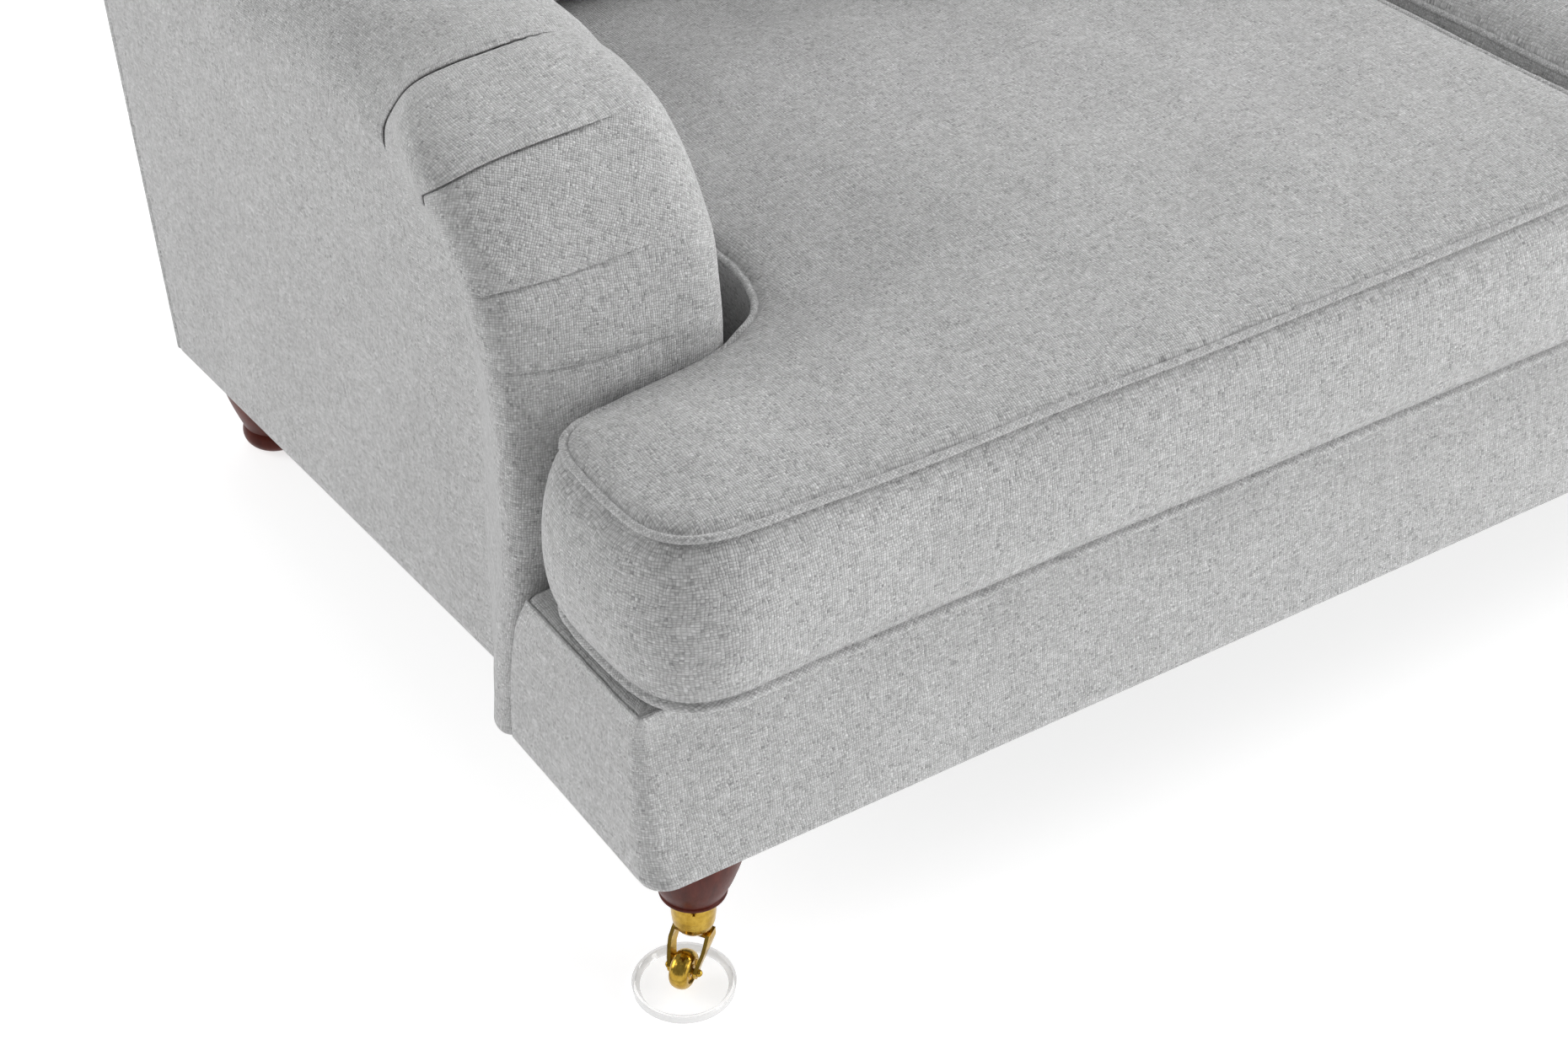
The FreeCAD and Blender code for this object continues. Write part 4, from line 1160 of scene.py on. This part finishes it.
# ------------------------------------------------- materials of the shown CAD
def wood_lacquer():
    T = Tree("dark_turned_wood")
    p = T.coords()
    g = T.noise(T.scale(p, (95.0, 95.0, 9.0)), 1.0, 4.0, 0.62, 0.6)
    pores = T.noise(T.scale(p, (900.0, 900.0, 60.0)), 1.0, 2.0, 0.6)
    c = T.ramp(g, [(0.30, (0.056, 0.0085, 0.0050)), (0.50, (0.080, 0.0125, 0.0070)), (0.70, (0.112, 0.0190, 0.0105))])
    c = T.mixc(T.rng(pores, 0.55, 0.75, 0.0, 0.30), c, (0.055, 0.009, 0.007))
    T.put(T.bsdf.inputs["Base Color"], c)
    T.put(T.bsdf.inputs["Roughness"], T.rng(pores, 0.3, 0.7, 0.34, 0.42))
    T.bsdf.inputs["Specular IOR Level"].default_value = 0.10
    T.bsdf.inputs["Coat Weight"].default_value = 0.08
    T.bsdf.inputs["Coat Roughness"].default_value = 0.12
    T.put(T.bsdf.inputs["Normal"], T.bump(pores, 0.00003, 0.6))
    return T.mat


def sawn_wood(name="sawn_frame_wood"):
    T = Tree(name)
    p = T.coords()
    g = T.noise(T.scale(p, (4.0, 60.0, 60.0)), 1.0, 5.0, 0.6, 0.8)
    f = T.noise(T.scale(p, (30.0, 500.0, 500.0)), 1.0, 2.0, 0.6)
    c = T.ramp(g, [(0.3, (0.42, 0.28, 0.15)), (0.55, (0.60, 0.44, 0.27)), (0.75, (0.70, 0.55, 0.36))])
    T.put(T.bsdf.inputs["Base Color"], T.mixc(T.rng(f, 0.45, 0.75, 0.0, 0.35), c, (0.33, 0.21, 0.11)))
    T.bsdf.inputs["Roughness"].default_value = 0.72
    T.put(T.bsdf.inputs["Normal"], T.bump(f, 0.0003, 1.0))
    return T.mat


def polished_brass():
    T = Tree("polished_brass")
    p = T.coords()
    n = T.noise(T.scale(p, 160.0), 1.0, 3.0, 0.6)
    fine = T.noise(T.scale(p, 2400.0), 1.0, 2.0, 0.6)
    T.put(T.bsdf.inputs["Base Color"], T.ramp(n, [(0.35, (0.41, 0.245, 0.030)), (0.65, (0.57, 0.375, 0.065))]))
    T.bsdf.inputs["Metallic"].default_value = 1.0
    T.put(T.bsdf.inputs["Roughness"], T.rng(n, 0.3, 0.7, 0.17, 0.27))
    T.put(T.bsdf.inputs["Normal"], T.bump(fine, 0.00002, 0.6))
    return T.mat


def spring_steel():
    T = Tree("oiled_steel")
    p = T.coords()
    n = T.noise(T.scale(p, 220.0), 1.0, 3.0, 0.6)
    T.put(T.bsdf.inputs["Base Color"], T.ramp(n, [(0.35, (0.28, 0.29, 0.31)), (0.65, (0.50, 0.51, 0.53))]))
    T.bsdf.inputs["Metallic"].default_value = 1.0
    T.put(T.bsdf.inputs["Roughness"], T.rng(n, 0.3, 0.7, 0.28, 0.5))
    T.put(T.bsdf.inputs["Normal"], T.bump(n, 0.00005, 1.0))
    return T.mat


def clear_cup():
    T = Tree("clear_cup")
    p = T.coords()
    n = T.noise(T.scale(p, 300.0), 1.0, 2.0, 0.5)
    flat = T.m("ABSOLUTE", T.split(T.add("ShaderNodeNewGeometry").outputs["True Normal"])[2])
    wall = T.m("SUBTRACT", 1.0, T.m("POWER", flat, 6.0))
    lw = T.add("ShaderNodeLayerWeight")
    lw.inputs["Blend"].default_value = 0.4
    k = lw.outputs["Facing"]
    # painted shade at the walls: the colour darkens and alpha rises as the surface turns edge-on, standing in for
    # refraction in the clear plastic
    T.put(T.bsdf.inputs["Base Color"], T.ramp(k, [(0.0, 0.80), (0.6, 0.62), (1.0, 0.38)]))
    T.put(T.bsdf.inputs["Alpha"], T.m("ADD", 0.07, T.m("MULTIPLY", wall, T.rng(k, 0.0, 0.9, 0.34, 0.80))))
    T.put(T.bsdf.inputs["Roughness"], T.rng(n, 0.3, 0.7, 0.05, 0.10))
    T.bsdf.inputs["Coat Weight"].default_value = 1.0
    T.bsdf.inputs["Coat Roughness"].default_value = 0.03
    return T.mat


def dust_cloth():
    T = Tree("black_dust_cloth")
    p = T.coords()
    a = T.noise(T.scale(p, (1500.0, 420.0, 900.0)), 1.0, 3.0, 0.7)
    b = T.noise(T.scale(p, (420.0, 1500.0, 900.0)), 1.0, 3.0, 0.7)
    f = T.m("MAXIMUM", a, b)
    T.put(T.bsdf.inputs["Base Color"], T.ramp(f, [(0.45, 0.012), (0.62, 0.035), (0.75, 0.075)]))
    T.bsdf.inputs["Roughness"].default_value = 0.85
    T.bsdf.inputs["Sheen Weight"].default_value = 0.3
    T.put(T.bsdf.inputs["Normal"], T.bump(f, 0.0003, 1.0))
    return T.mat


def box_weave(name, dark, light, pitch=0.0012, axes="xy"):
    T = Tree(name)
    p = T.split(T.coords())
    i = "xyz".index(axes[0]), "xyz".index(axes[1])
    U = T.m("DIVIDE", p[i[0]], pitch)
    V = T.m("DIVIDE", p[i[1]], pitch)
    su = T.m("ABSOLUTE", T.m("SINE", T.m("MULTIPLY", U, math.pi)))
    sv = T.m("ABSOLUTE", T.m("SINE", T.m("MULTIPLY", V, math.pi)))
    par = T.m("FLOORED_MODULO", T.m("ADD", T.m("FLOOR", U), T.m("FLOOR", V)), 2.0)
    h = T.mixf(par, su, sv)
    n = T.noise(T.scale(T.coords(), 700.0), 1.0, 2.0, 0.6)
    # painted shade: the colour runs to the dark tone in the gaps between threads and to the light tone on their
    # crowns, with random tone from the noise
    T.put(T.bsdf.inputs["Base Color"], T.mixc(T.m("MULTIPLY", h, T.rng(n, 0.3, 0.7, 0.6, 1.0)), dark, light))
    T.bsdf.inputs["Roughness"].default_value = 0.9
    T.put(T.bsdf.inputs["Normal"], T.bump(h, 0.0003, 1.0))
    return T.mat


def nylon():
    T = Tree("black_nylon")
    n = T.noise(T.scale(T.coords(), 1200.0), 1.0, 2.0, 0.6)
    T.put(T.bsdf.inputs["Base Color"], T.ramp(n, [(0.3, 0.028), (0.7, 0.05)]))
    T.bsdf.inputs["Roughness"].default_value = 0.5
    T.put(T.bsdf.inputs["Normal"], T.bump(n, 0.0001, 0.6))
    return T.mat


FINISH = {"frame_wood": sawn_wood(), "leg_wood": wood_lacquer(), "brass": polished_brass(), "steel": spring_steel(),
          "clear_plastic": clear_cup(), "dust_cloth": dust_cloth(), "nylon": nylon(),
          "webbing": box_weave("elastic_webbing", (0.10, 0.075, 0.05), (0.36, 0.29, 0.20), 0.0016, "xz"),
          "deck_cloth": box_weave("platform_cloth", (0.16, 0.16, 0.163), (0.40, 0.40, 0.405), 0.0011, "xy"),
          "upholstery": CLOTH}
for sub in frame["record"]["subparts"]:
    ob = NODES[sub["node"]]
    ob.data.materials.clear()
    ob.data.materials.append(FINISH[sub["material_slot"]])


# --------------------------------------------------------------------- camera
cam = bpy.data.objects.new("camera", bpy.data.cameras.new("camera"))
cam.location = (-1.7348, -1.5188 - Y_CENTRE, 1.8067)
cam.rotation_euler = (math.radians(51.9), 0.0, math.radians(-32.8))
cam.data.lens = 77.03
cam.data.sensor_width = 36.0
cam.data.sensor_fit = "HORIZONTAL"
cam.data.clip_end = 60.0
bpy.context.scene.collection.objects.link(cam)
bpy.context.scene.camera = cam

# ------------------------------------------------------------- floor and light
FT = Tree("pale_floor")
FT.bsdf.inputs["Base Color"].default_value = (0.55, 0.55, 0.55, 1)
FT.bsdf.inputs["Roughness"].default_value = 0.9
FT.bsdf.inputs["Emission Color"].default_value = (1, 1, 1, 1)
FT.bsdf.inputs["Emission Strength"].default_value = 0.74
me = bpy.data.meshes.new("floor")
me.from_pydata([(-30, -30, 0), (30, -30, 0), (30, 30, 0), (-30, 30, 0)], [], [(0, 1, 2, 3)])
me.materials.append(FT.mat)
floor = bpy.data.objects.new("floor", me)
bpy.context.scene.collection.objects.link(floor)

world = bpy.data.worlds.new("studio")
world.use_nodes = True
bg = world.node_tree.nodes["Background"]
bg.inputs[0].default_value = (1, 1, 1, 1)
bg.inputs[1].default_value = 0.25
bpy.context.scene.world = world


def area(name, at, look, size, power):
    d = bpy.data.lights.new(name, "AREA")
    d.shape = "SQUARE"
    d.size = size
    d.energy = power
    o = bpy.data.objects.new(name, d)
    o.location = at
    o.rotation_euler = (Vector(look) - Vector(at)).to_track_quat("-Z", "Y").to_euler()
    bpy.context.scene.collection.objects.link(o)


area("right", (6.6, -1.4, 4.2), (0, 0, .4), 4.0, 400)
area("right_high", (3.6, -1.2, 5.6), (0, 0, .4), 3.0, 45)
area("right_front", (5.8, -3.6, .9), (0, 0, .4), 2.4, 40)
area("front_right", (3.4, -5.4, 1.8), (0, 0, .4), 2.6, 132)
area("left_rear", (-4.4, 2.6, 2.7), (0, 0, .4), 2.8, 106)
area("rear", (.3, 3.8, 4.1), (0, 0, .4), 2.8, 45)
area("rear_right", (2.6, 2.9, 4.7), (0, 0, .4), 2.4, 38)
bpy.context.scene.view_settings.view_transform = "Standard"
